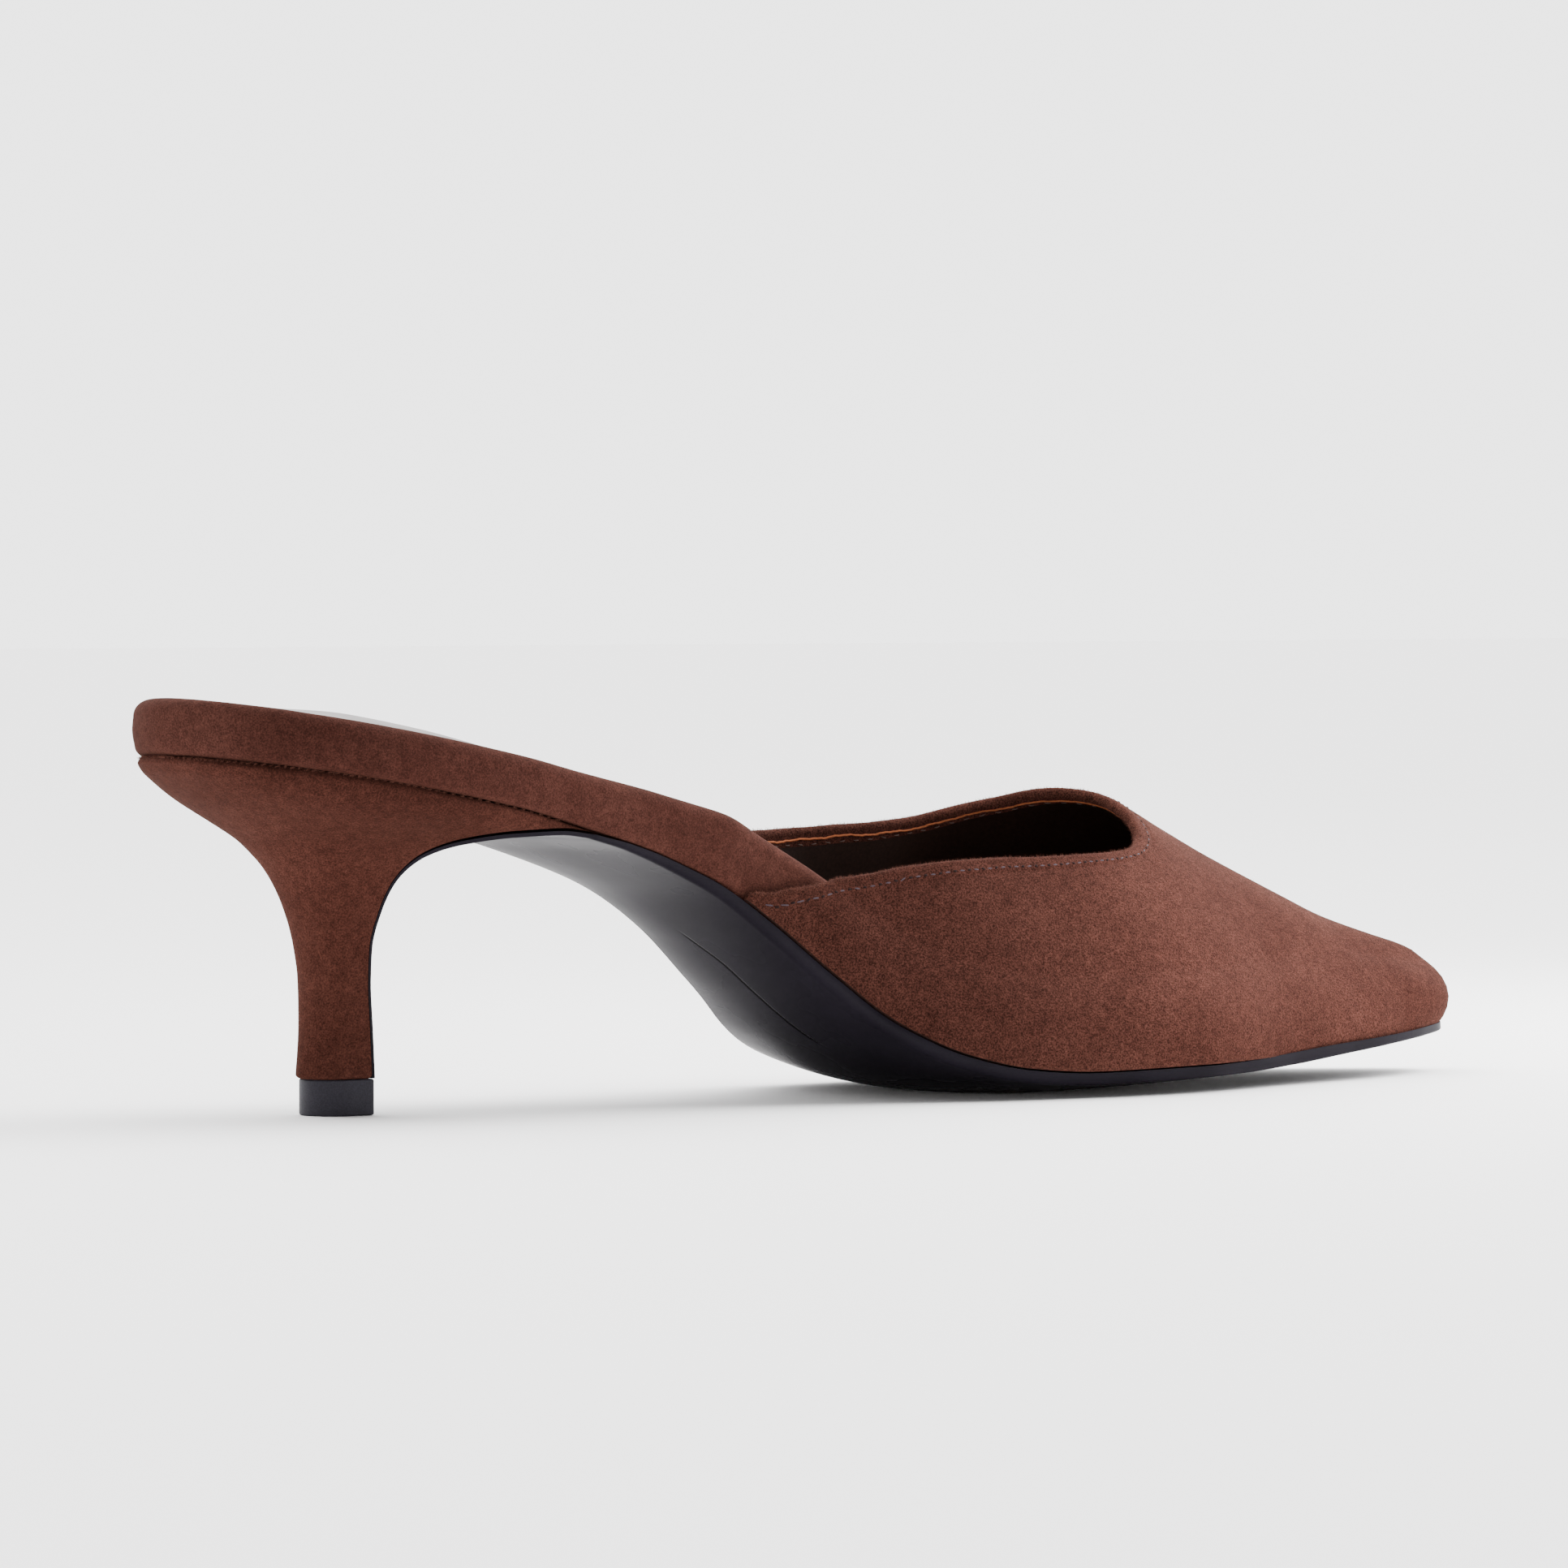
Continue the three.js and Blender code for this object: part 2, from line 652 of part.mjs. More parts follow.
const vampCurve = {
  share: smoothCurve(VAMP.way, VAMP.topShare),
  across: smoothCurve(VAMP.way, VAMP.topAcross),
  turn: smoothCurve(
    VAMP.way,
    VAMP.foot.map((share, i) => (VAMP.way[i] <= 0.5 ? turnOf(share) : 2 * Math.PI - turnOf(share))),
  ),
};

// Outer face of the vamp: `way` goes round, `down` from the topline to the lower edge.
function vampOuter(way, down) {
  const side = way <= 0.5 ? -1 : 1;
  const turnRound = vampCurve.turn(way);
  const turn = side < 0 ? turnRound : 2 * Math.PI - turnRound;
  const footShare = shareOf(turn);
  const topShare = vampCurve.share(way);
  const part = Math.sin((down * Math.PI) / 2);
  const x = mix(along(topShare), along(footShare), part);
  const y = mix(
    sideways(topShare, vampCurve.across(way)),
    side * halfWidth(footShare, side),
    part,
  );
  const share = shareAt(x);
  const height = down >= 1 ? 0 : shellHeight(share, acrossOf(share, y));
  const toe = smoothStep(0.93, 1, footShare);
  const level = clamp(height / mix(SWELL_HEIGHT, TOE_SWELL_HEIGHT, toe), 0, 1);
  const swell = mix(VAMP_SWELL, TOE_SWELL, toe) * 4 * level * (1 - level);
  const out = outlineNormal(turn, side).multiplyScalar(swell);
  return new THREE.Vector3(x + out.x, y + out.y, seatLine(share) + height);
}

function vampNormal(way, down) {
  const [w, d] = [clamp(way, 0.012, 0.988), clamp(down, 0.03, 0.97)];
  const reach = 0.004;
  const round = vampOuter(w + reach, d).sub(vampOuter(w - reach, d));
  const fall = vampOuter(w, d + reach).sub(vampOuter(w, d - reach));
  return fall.cross(round).normalize();
}

function vampInner(way, down) {
  const outer = vampOuter(way, down);
  const normal = vampNormal(way, down);
  const side = way <= 0.5 ? -1 : 1;
  const inner = outer.clone().addScaledVector(normal, -wallAt(shareAt(outer.x), side));
  if (down >= 1) inner.z = seatLine(shareAt(inner.x));
  return inner;
}

function upperGeometry() {
  const loops = [];
  for (let i = 0; i <= VAMP_STATIONS; i += 1) {
    const way = i / VAMP_STATIONS;
    const outer = [];
    const inner = [];
    for (let k = 0; k <= VAMP_STEPS; k += 1) {
      outer.push(vampOuter(way, k / VAMP_STEPS));
      inner.push(vampInner(way, k / VAMP_STEPS));
    }
    loops.push([...outer, ...inner.reverse()]);
  }
  return loft(loops, true, true);
}

// Materials
const suede = { color: 0x6e4434, roughness: 0.95, metalness: 0 };
const blackLeather = { color: 0x1d1b20, roughness: 0.4, metalness: 0 };
const blackRubber = { color: 0x17171a, roughness: 0.6, metalness: 0 };
const brownLeather = { color: 0x3a2620, roughness: 0.45, metalness: 0 };

function piece(name, geometry, finish) {
  const mesh = new THREE.Mesh(geometry, new THREE.MeshStandardMaterial(finish));
  mesh.name = name;
  return mesh;
}

const mule = new THREE.Group();
mule.add(
  piece('top_piece', topPieceGeometry(), blackRubber),
  piece('heel_block', heelBlockGeometry(), suede),
  piece('outsole', outsoleGeometry(), blackLeather),
  piece('footbed', footbedGeometry(), suede),
  piece('sock_lining', sockLiningGeometry(), brownLeather),
  piece('upper', upperGeometry(), suede),
);

export default mule;
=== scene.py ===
"""Looks of a kitten-heel mule: suede vamp, heel and footbed rim, leather sock and sole.

The shapes repeat the CAD part's functions on finer grids. Lengths are in millimetres
until a mesh is made. +X points to the toe, +Y to the medial side and +Z up.
"""

import math

import bpy
import numpy as np
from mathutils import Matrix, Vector


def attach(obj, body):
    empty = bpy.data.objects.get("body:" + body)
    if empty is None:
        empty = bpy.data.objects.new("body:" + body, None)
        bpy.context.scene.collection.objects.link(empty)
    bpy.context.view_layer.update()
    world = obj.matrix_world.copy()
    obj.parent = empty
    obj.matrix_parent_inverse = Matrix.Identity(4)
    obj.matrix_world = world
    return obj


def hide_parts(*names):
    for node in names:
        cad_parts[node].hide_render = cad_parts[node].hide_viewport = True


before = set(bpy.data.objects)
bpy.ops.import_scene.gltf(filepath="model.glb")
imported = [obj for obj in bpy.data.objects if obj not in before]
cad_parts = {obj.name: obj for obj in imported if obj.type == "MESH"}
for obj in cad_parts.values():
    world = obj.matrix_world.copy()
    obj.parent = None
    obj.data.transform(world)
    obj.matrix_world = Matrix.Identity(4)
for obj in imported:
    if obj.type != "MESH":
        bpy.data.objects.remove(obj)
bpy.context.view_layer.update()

MM = 0.001

# Sizes of the shoe, as in the CAD part
SHOE_LENGTH = 251.3
HEEL_SETBACK = 31.2
SEAT_HEIGHT = 55.7
SEAT_WIDTH = 50
BALL_WIDTH = 68
INSTEP_HEIGHT = 43
TOE_SPRING = 3.7
UPPER_WALL = 1.8
WING_WALL = 0.9
VAMP_SWELL = 1.1
SWELL_HEIGHT = 15
TOE_SWELL = 2.4
TOE_SWELL_HEIGHT = 11
FOOTBED_THICKNESS = 8.5
FOOTBED_ROUNDING = 2.6
RIM_OVERHANG = -0.06
FOOTBED_TOE_ROOM = 9
LINING_THICKNESS = 1.2
LINING_MARGIN = 2.2
LINING_RECESS = 1.5
LINING_CROWN = 0.4
SOLE_THICKNESS = 2
SOLE_CROWN = 2.5
SOLE_FLAT = 0.8
SOLE_MARGIN = 0.6
SOLE_EDGE_BEVEL = 1
FLAP_THICKNESS = 0.7
TIP_LENGTH = 9.4
TIP_WIDTH = 10
TIP_HEIGHT = 5.3
STEM_WIDTH = 10.4
STEM_BACK = -5.6
STEM_FRONT = 4.1
HEEL_ROUND_SHARE = 0.55
SEAT_BLEND_LEVEL = 0.6
HEEL_LIP_INSET = 0.8
CLEARANCE = 0.3
HEEL_WING_SHARE = 0.258
LATERAL_WING_SHARE = 0.377
MEDIAL_WING_SHARE = 0.325
WING_LAP = 0.03
LATERAL_FULLNESS = 1.6
MEDIAL_FULLNESS = 2.3
FOOTBED_END = 1 - FOOTBED_TOE_ROOM / SHOE_LENGTH
FOOTBED_END_ROUNDING = 0.045
BALL_LIFT = SOLE_THICKNESS + SOLE_CROWN + CLEARANCE - SOLE_FLAT

# Small forms that only the picture needs
HEEL_LIP_ROUNDING = 1.3  # at the back; the wings have a sharper lip
WING_LIP_ROUNDING = 0.8
RIM_CORNER = 1.7  # the rim's lower corner at the back
WING_RIM_CORNER = 0.9
CORNER_SHARES = (0.05, 0.2)  # stretch in which both corners sharpen
RIM_PUFF = 0.25
SEAT_TURN_SHARE = 0.3  # back stretch of a heel loop that keeps the seat's own roundness
BACK_CLOSING_SHARE = 0.02
SEAM_GAP = 0.12  # between the heel and the rim, pressed close in the real shoe
HEEL_FOOT_ROUNDING = 0.7
TIP_SPREAD = 0.2  # the rubber stands out past its CAD outline and closes the gap over it
SOCK_SINK = 0.25  # the sock's edge lies this much lower at the back of the heel
TOE_EDGE_REACH = 0.7  # the sole's edge stands out past the vamp at the toe
TOE_EDGE_RISE = 0.75
TOE_EDGE_WIDTH = 0.8
STITCH_DROP = 2.2  # stitch line below the topline
STITCH_LENGTH = 1.8
STITCH_GAP = 1.0
STITCH_SWAY = 0.2
THREAD_WIDTH = 0.3
SEAM_WIDTH = 0.4  # the stitch line presses the suede in
SEAM_DEPTH = 0.16
PUFF_DROP = 1.1  # and the suede swells between it and the topline
PUFF_WIDTH = 0.8
PUFF_HEIGHT = 0.1
FOLD_DROP = 1.9  # suede folded over the topline, down to the raw edge inside
RAW_EDGE_RADIUS = 0.2
NAP_RADIUS = 0.03
NAP_SINK = 0.06
ROLL_POINTS = 13  # points over the rolled topline
SOLE_EDGE_SOFTNESS = 1.7  # the sole's near edge is rubbed round
SOLE_EDGE_UPRIGHT = 0.45  # share of the thickness that stands upright
SOFT_EDGE_UPRIGHT = 0.2
CROWN_FULL_WIDTH = 8  # half-width from which the sole has its whole crown
TOE_EDGE_SHARES = (0.7, 0.86)
TOE_END_SHARE = 0.96
GROOVE_START_SHARES = (0.39, 0.4)
GROOVE_END_SHARES = (0.486, 0.47)
TIP_CORNER = 0.9
TIP_EDGE = 0.3


def table(columns, rows):
    """Columns of a table by name."""
    return dict(zip(columns, np.array(rows, float).T))


def smooth_curve(places, values):
    """Cubic through values at rising places that never overshoots between them."""
    steps = np.diff(places)
    slopes = np.diff(values) / steps
    before, after = slopes[:-1], slopes[1:]
    weight_before = steps[:-1] + 2 * steps[1:]
    weight_after = 2 * steps[:-1] + steps[1:]
    with np.errstate(divide="ignore", invalid="ignore"):
        mean = (weight_before + weight_after) / (weight_before / after + weight_after / before)
    inner = np.where(before * after > 0, mean, 0.0)
    tangents = np.concatenate([slopes[:1], inner, slopes[-1:]])

    def curve(place):
        at = np.clip(place, places[0], places[-1])
        i = np.clip(np.searchsorted(places, at, side="right") - 1, 0, len(steps) - 1)
        t = (at - places[i]) / steps[i]
        rise = values[i + 1] - values[i]
        bend = (1 - t) * (tangents[i] * steps[i] - rise) + t * (rise - tangents[i + 1] * steps[i])
        return values[i] + t * rise + t * (1 - t) * bend

    return curve


def mix(a, b, t):
    return a + (b - a) * t


def smooth_step(low, high, value):
    t = np.clip((value - low) / (high - low), 0, 1)
    return t * t * (3 - 2 * t)


def turn_of(share):
    return np.arccos(1 - 2 * np.clip(share, 0, 1))


def share_of(turn):
    return (1 - np.cos(turn)) / 2


def along(share):
    return share * SHOE_LENGTH - HEEL_SETBACK


def share_at(x):
    return (x + HEEL_SETBACK) / SHOE_LENGTH


# Outline of the last's bottom, half-widths in shares of the seat and ball widths
OUTLINE = table(
    ["share", "lateral", "medial"],
    [
        [0, 0, 0],
        [0.02, 0.29, 0.29],
        [0.05, 0.425, 0.425],
        [0.1, 0.495, 0.495],
        [0.15, 0.51, 0.505],
        [0.2, 0.505, 0.485],
        [0.25, 0.47, 0.44],
        [0.3, 0.41, 0.365],
        [0.35, 0.355, 0.285],
        [0.4, 0.34, 0.245],
        [0.45, 0.37, 0.265],
        [0.5, 0.44, 0.345],
        [0.55, 0.498, 0.392],
        [0.6, 0.52, 0.405],
        [0.65, 0.53, 0.44],
        [0.7, 0.51, 0.465],
        [0.75, 0.455, 0.46],
        [0.8, 0.38, 0.415],
        [0.85, 0.315, 0.345],
        [0.9, 0.255, 0.26],
        [0.95, 0.175, 0.16],
        [0.98, 0.105, 0.093],
        [1, 0, 0],
    ],
)

# Side profile of the last's bottom
PROFILE = table(
    ["share", "rise", "spring"],
    [
        [0, 1, 0],
        [0.1, 0.93, 0],
        [0.2, 0.84, 0],
        [0.25, 0.777, 0],
        [0.3, 0.711, 0],
        [0.33, 0.661, 0],
        [0.36, 0.598, 0],
        [0.4, 0.47, 0],
        [0.44, 0.309, 0],
        [0.48, 0.157, 0],
        [0.52, 0.065, 0],
        [0.56, 0.02, 0],
        [0.6, 0.005, 0],
        [0.65, 0, 0.1],
        [0.75, 0, 0.2],
        [0.8, 0, 0.31],
        [0.85, 0, 0.46],
        [0.9, 0, 0.63],
        [0.95, 0, 0.82],
        [1, 0, 1],
    ],
)

# Crest of the last over the sole edge
CREST = table(
    ["share", "height", "aside"],
    [
        [0.3, 1.4, 0.07],
        [0.5, 1.4, 0.07],
        [0.6, 1.28, 0.075],
        [0.65, 1.18, 0.085],
        [0.7, 1.07, 0.09],
        [0.74, 0.97, 0.085],
        [0.77, 0.87, 0.07],
        [0.81, 0.74, 0.05],
        [0.865, 0.575, 0.025],
        [0.905, 0.46, 0.01],
        [0.944, 0.375, 0],
        [0.97, 0.325, 0],
        [0.985, 0.285, 0],
        [0.995, 0.225, 0],
        [1, 0, 0],
    ],
)

# Footbed thickness
PADDING = table(
    ["share", "thickness"],
    [
        [0, 1.02],
        [0.1, 0.97],
        [0.2, 0.94],
        [0.3, 1.06],
        [0.36, 1.27],
        [0.42, 1.47],
        [0.46, 1.6],
        [0.5, 1.48],
        [0.55, 1.1],
        [0.6, 0.88],
        [0.7, 0.72],
        [0.8, 0.62],
        [1, 0.5],
    ],
)

# Heel block in the side view, level by level
HEEL = table(
    ["level", "backX", "backZ", "frontX", "frontZ", "half"],
    [
        [0, 0, 0, 0, 0, 0],
        [0.1, -0.03, 0.155, -0.017, 0.204, 0.01],
        [0.2, -0.038, 0.298, -0.04, 0.392, 0.035],
        [0.3, -0.01, 0.42, -0.046, 0.54, 0.07],
        [0.4, 0.066, 0.543, -0.017, 0.688, 0.136],
        [0.5, 0.178, 0.645, 0.035, 0.82, 0.242],
        [0.6, 0.322, 0.722, 0.125, 0.915, 0.394],
        [0.7, 0.475, 0.792, 0.275, 0.98, 0.596],
        [0.8, 0.642, 0.869, 0.5, 1.01, 0.788],
        [0.9, 0.807, 0.943, 0.775, 1.018, 0.93],
        [1, 1, 1, 1, 1, 1],
    ],
)

# Thickness and crown of the sole
SOLE_BODY = table(
    ["share", "thickness", "crown"],
    [
        [0, 0, 0],
        [0.25, 0.1, 0],
        [0.32, 0.6, 0.4],
        [0.42, 1, 0.7],
        [0.52, 1, 1],
        [0.65, 1, 1],
        [0.72, 0.95, 0.8],
        [0.8, 0.75, 0.3],
        [0.87, 0.3, 0.05],
        [0.93, 0.05, 0],
        [1, 0, 0],
    ],
)

# Topline and lower edge of the vamp
VAMP = table(
    ["way", "topShare", "topAcross", "foot"],
    [
        [0, LATERAL_WING_SHARE, -1, LATERAL_WING_SHARE],
        [0.04, 0.395, -0.992, 0.395],
        [0.08, 0.411, -0.976, 0.412],
        [0.12, 0.429, -0.95, 0.432],
        [0.16, 0.453, -0.903, 0.46],
        [0.21, 0.5, -0.805, 0.517],
        [0.27, 0.56, -0.717, 0.59],
        [0.34, 0.63, -0.648, 0.69],
        [0.4, 0.69, -0.558, 0.8],
        [0.44, 0.716, -0.44, 0.885],
        [0.47, 0.729, -0.25, 0.95],
        [0.5, 0.732, -0.07, 1],
        [0.53, 0.7265, 0.08, 0.95],
        [0.56, 0.716, 0.265, 0.885],
        [0.6, 0.69, 0.53, 0.8],
        [0.66, 0.63, 0.736, 0.69],
        [0.73, 0.565, 0.816, 0.59],
        [0.8, 0.5, 0.888, 0.515],
        [0.87, 0.43, 0.957, 0.435],
        [0.93, 0.37, 0.992, 0.373],
        [1, MEDIAL_WING_SHARE, 1, MEDIAL_WING_SHARE],
    ],
)

# Crown of the padded sock in mm, full under the heel
SOCK_CROWN = table(
    ["share", "crown"],
    [
        [0, -0.1],
        [0.02, -0.1],
        [0.045, 0.3],
        [0.08, 1.4],
        [0.12, 2.4],
        [0.16, 2.5],
        [0.22, 1.6],
        [0.3, 0.7],
        [0.4, 0.4],
        [1, 0.4],
    ],
)

# The heel's back stands out round under the seat, in mm
HEEL_FULLNESS = table(
    ["level", "out"],
    [
        [0, 0],
        [0.6, 0],
        [0.7, 0.6],
        [0.8, 2.1],
        [0.9, 3.1],
        [0.96, 1.9],
        [1, 0.5],
    ],
)

# Groove cut into the sole's waist: its place across, in mm
GROOVE = table(
    ["share", "y"],
    [
        [0.39, -0.4],
        [0.405, -1.9],
        [0.42, -3.8],
        [0.45, -5.3],
        [0.47, -7.2],
        [0.486, -9.2],
    ],
)

outline_turns = turn_of(OUTLINE["share"])
lateral_share = smooth_curve(outline_turns, OUTLINE["lateral"])
medial_share = smooth_curve(outline_turns, OUTLINE["medial"])
rise_share = smooth_curve(PROFILE["share"], PROFILE["rise"])
spring_share = smooth_curve(PROFILE["share"], PROFILE["spring"])
crest_turns = turn_of(CREST["share"])
crest_share = smooth_curve(crest_turns, CREST["height"])
aside_share = smooth_curve(crest_turns, CREST["aside"])
padding_share = smooth_curve(PADDING["share"], PADDING["thickness"])
sole_thickness_share = smooth_curve(SOLE_BODY["share"], SOLE_BODY["thickness"])
sole_crown_share = smooth_curve(SOLE_BODY["share"], SOLE_BODY["crown"])
sock_crown = smooth_curve(SOCK_CROWN["share"], SOCK_CROWN["crown"])
groove_line = smooth_curve(GROOVE["share"], GROOVE["y"])
heel_fullness = smooth_curve(HEEL_FULLNESS["level"], HEEL_FULLNESS["out"])
heel_curve = {
    name: smooth_curve(HEEL["level"], HEEL[name])
    for name in ["backX", "backZ", "frontX", "frontZ", "half"]
}
foot_turns = turn_of(VAMP["foot"])
vamp_share = smooth_curve(VAMP["way"], VAMP["topShare"])
vamp_across = smooth_curve(VAMP["way"], VAMP["topAcross"])
vamp_turn = smooth_curve(
    VAMP["way"], np.where(VAMP["way"] <= 0.5, foot_turns, 2 * math.pi - foot_turns)
)


def half_width(share, side):
    """Outline's distance from the middle line; side is -1 for lateral and 1 for medial."""
    reference = mix(SEAT_WIDTH, BALL_WIDTH, smooth_step(0.2, 0.5, share))
    turn = turn_of(share)
    return reference * np.where(side < 0, lateral_share(turn), medial_share(turn))


def seat_line(share):
    return (
        BALL_LIFT + (SEAT_HEIGHT - BALL_LIFT) * rise_share(share) + TOE_SPRING * spring_share(share)
    )


def unit(vectors):
    length = np.linalg.norm(vectors, axis=-1, keepdims=True)
    return vectors / np.maximum(length, 1e-9)


def seat_normal(share):
    """Unit normal (x, z) of the seat line, pointing up."""
    low = np.clip(share - 0.004, 0, 1)
    high = np.clip(share + 0.004, 0, 1)
    run, rise = along(high) - along(low), seat_line(high) - seat_line(low)
    return unit(np.stack([-rise, run], -1))


def outline_normal(turn, side):
    """Unit normal (x, y) of the outline in plan, pointing out."""
    reach = 0.01
    low = share_of(np.clip(turn - reach, 0, math.pi))
    high = share_of(np.clip(turn + reach, 0, math.pi))
    dx = along(high) - along(low)
    dy = half_width(high, side) - half_width(low, side)
    normal = unit(np.stack([-dy, dx * side], -1))
    ends = np.where(turn <= reach, -1.0, 0.0) + np.where(turn >= math.pi - reach, 1.0, 0.0)
    end_normal = np.stack([ends, np.zeros_like(ends)], -1)
    return np.where(ends[..., None] != 0, end_normal, normal)


def crest_height(share):
    return INSTEP_HEIGHT * crest_share(turn_of(share))


def crest_aside(share):
    return BALL_WIDTH * aside_share(turn_of(share))


def fullness(side):
    return np.where(side < 0, LATERAL_FULLNESS, MEDIAL_FULLNESS)


def shell_height(share, across):
    """Last over the sole edge: crest * (1 - |across|^n)^(1/n)."""
    power = fullness(across)
    rest = np.maximum(1 - np.abs(np.clip(across, -1, 1)) ** power, 0)
    return crest_height(share) * rest ** (1 / power)


def across_at(share, side, height):
    power = fullness(side)
    part = np.clip(height / np.maximum(crest_height(share), 1e-6), 0, 1)
    return side * (1 - part**power) ** (1 / power)


def across_of(share, y):
    crest = crest_aside(share)
    side = np.where(y < crest, -1.0, 1.0)
    reach = half_width(share, side) - side * crest
    return np.where(reach > 0.01, np.clip((y - crest) / np.maximum(reach, 0.01), -1, 1), side)


def sideways(share, across):
    side = np.where(across < 0, -1.0, 1.0)
    crest = crest_aside(share)
    return crest + across * (half_width(share, side) - side * crest)


def wall_at(share, side):
    wing = np.where(side < 0, LATERAL_WING_SHARE, MEDIAL_WING_SHARE)
    return mix(WING_WALL, UPPER_WALL, smooth_step(wing, wing + 0.08, share))


def footbed_height(share):
    return FOOTBED_THICKNESS * padding_share(share)


# Meshes


def put(name, data):
    """Adds an object at the origin to the scene."""
    made = bpy.data.objects.new(name, data)
    bpy.context.scene.collection.objects.link(made)
    return made


def surface(name, grid, wrap=True, capped=False, zones=None, values=None, sharp=50):
    """A mesh through a grid of points (row, column, xyz) in mm.

    With wrap the last column joins the first. A capped grid gets a ladder of faces across
    its first and its last row. Zones hold a material number for each grid row. Values
    become attributes of the points. Points in one place are welded and faces point out.
    """
    rows, columns = grid.shape[:2]
    index = np.arange(rows * columns).reshape(rows, columns)
    left = index if wrap else index[:, :-1]
    right = np.roll(index, -1, axis=1) if wrap else index[:, 1:]
    a, b, c, d = left[:-1], right[:-1], right[1:], left[1:]
    faces = np.stack([a, b, c, a, c, d], -1).reshape(-1, 3)
    face_zones = np.zeros(len(faces), np.int32)
    if zones is not None:
        face_zones = np.broadcast_to(zones, a.shape).ravel().repeat(2).astype(np.int32)
    if capped:
        j = np.arange((columns - 1) // 2)
        near, next_near = j, j + 1
        far, next_far = columns - 1 - j, columns - 2 - j
        ladder = np.stack([near, next_near, next_far, near, next_far, far], -1).reshape(-1, 3)
        caps = np.concatenate([ladder[:, ::-1], ladder + (rows - 1) * columns])
        faces = np.concatenate([faces, caps])
        first_zone, last_zone = face_zones[:1], face_zones[-1:]
        cap_zones = [np.repeat(first_zone, len(ladder)), np.repeat(last_zone, len(ladder))]
        face_zones = np.concatenate([face_zones, *cap_zones])

    points = grid.reshape(-1, 3)
    _, first, place = np.unique(
        np.round(points * 1e3).astype(np.int64), axis=0, return_index=True, return_inverse=True
    )
    faces = place.reshape(-1)[faces]
    points = points[first] * MM
    real = (
        (faces[:, 0] != faces[:, 1]) & (faces[:, 1] != faces[:, 2]) & (faces[:, 2] != faces[:, 0])
    )
    faces, face_zones = faces[real], face_zones[real]
    corners = points[faces]
    volume = np.einsum("ij,ij->", corners[:, 0], np.cross(corners[:, 1], corners[:, 2]))
    if volume < 0:
        faces = faces[:, ::-1]

    mesh = bpy.data.meshes.new(name)
    mesh.from_pydata(points.tolist(), [], faces.tolist())
    mesh.polygons.foreach_set("use_smooth", np.ones(len(faces), bool))
    mesh.polygons.foreach_set("material_index", face_zones)
    for key, value in (values or {}).items():
        attribute = mesh.attributes.new(key, "FLOAT", "POINT")
        spread = np.broadcast_to(value, (rows, columns)).reshape(-1)[first]
        attribute.data.foreach_set("value", spread.astype(np.float32))
    mesh.update()
    mesh.set_sharp_from_angle(angle=math.radians(sharp))
    return put(name, mesh)


def finish_piece(piece, materials, node=None):
    """Gives a piece its materials and slot. It rides on the shoe and may stand for a node."""
    for material in materials:
        piece.data.materials.append(material)
    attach(piece, "root")
    if node:
        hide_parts(node)


def span(low, high, count):
    return np.linspace(low, high, count)


def rounded_share(count):
    """Shares from 0 to 1 that close up at both ends."""
    return share_of(span(0, math.pi, count))


# Footbed and sock lining


def end_factor(share):
    t = np.clip((share - FOOTBED_END) / FOOTBED_END_ROUNDING + 1, 0, 1)
    return np.sqrt(1 - t * t)


def slab_lean(share):
    """Direction (x, z) of a slab's thickness, upright at the back and square further on."""
    upright = np.array([RIM_OVERHANG, 1.0])
    return unit(mix(upright, seat_normal(share), smooth_step(0, 0.25, share)[..., None]))


def room_beside(share, x, z, side):
    """Half-width left for the footbed: the outline, or the inside of the vamp's wall."""
    opened = half_width(share, side)
    place = np.clip(share_at(x), 0, 1)
    height = np.maximum(z - seat_line(place), 0)
    shell = side * sideways(place, across_at(place, side, height))
    inside = shell - wall_at(place, side) - CLEARANCE
    wing = np.where(side < 0, LATERAL_WING_SHARE, MEDIAL_WING_SHARE)
    return mix(opened, np.minimum(inside, opened), smooth_step(wing - WING_LAP, wing, share))


def slab_points(share, side, inset, height):
    """Points over the seat line, `inset` from the outline and `height` above it."""
    lean = slab_lean(share)
    x = along(share) + lean[..., 0] * height
    z = seat_line(share) + lean[..., 1] * height
    out = outline_normal(turn_of(share), side)
    front = smooth_step(FOOTBED_END - FOOTBED_END_ROUNDING, FOOTBED_END, share)
    half = np.maximum(room_beside(share, x, z, side) - np.abs(out[..., 1]) * inset, 0)
    y = side * half * end_factor(share)
    return np.stack([x - mix(out[..., 0], 1, front) * inset, y, z], -1)


def crowned(points, share, crown):
    """Lifts the middle: crown * (1 - (y / half-width)^2)."""
    side = np.where(points[..., 1] < 0, -1.0, 1.0)
    half = half_width(share, side) + 1
    lift = crown * np.maximum(1 - (points[..., 1] / half) ** 2, 0)
    lean = slab_lean(share)
    return points + np.stack([lean[..., 0] * lift, 0 * lift, lean[..., 1] * lift], -1)


def domed(points, share, crown, t):
    """Lifts the middle: crown * (1 - t^2), with t from -1 to 1 between the slab's own edges."""
    lift = crown * (1 - t * t)
    lean = slab_lean(share)
    return points + np.stack([lean[..., 0] * lift, 0 * lift, lean[..., 1] * lift], -1)


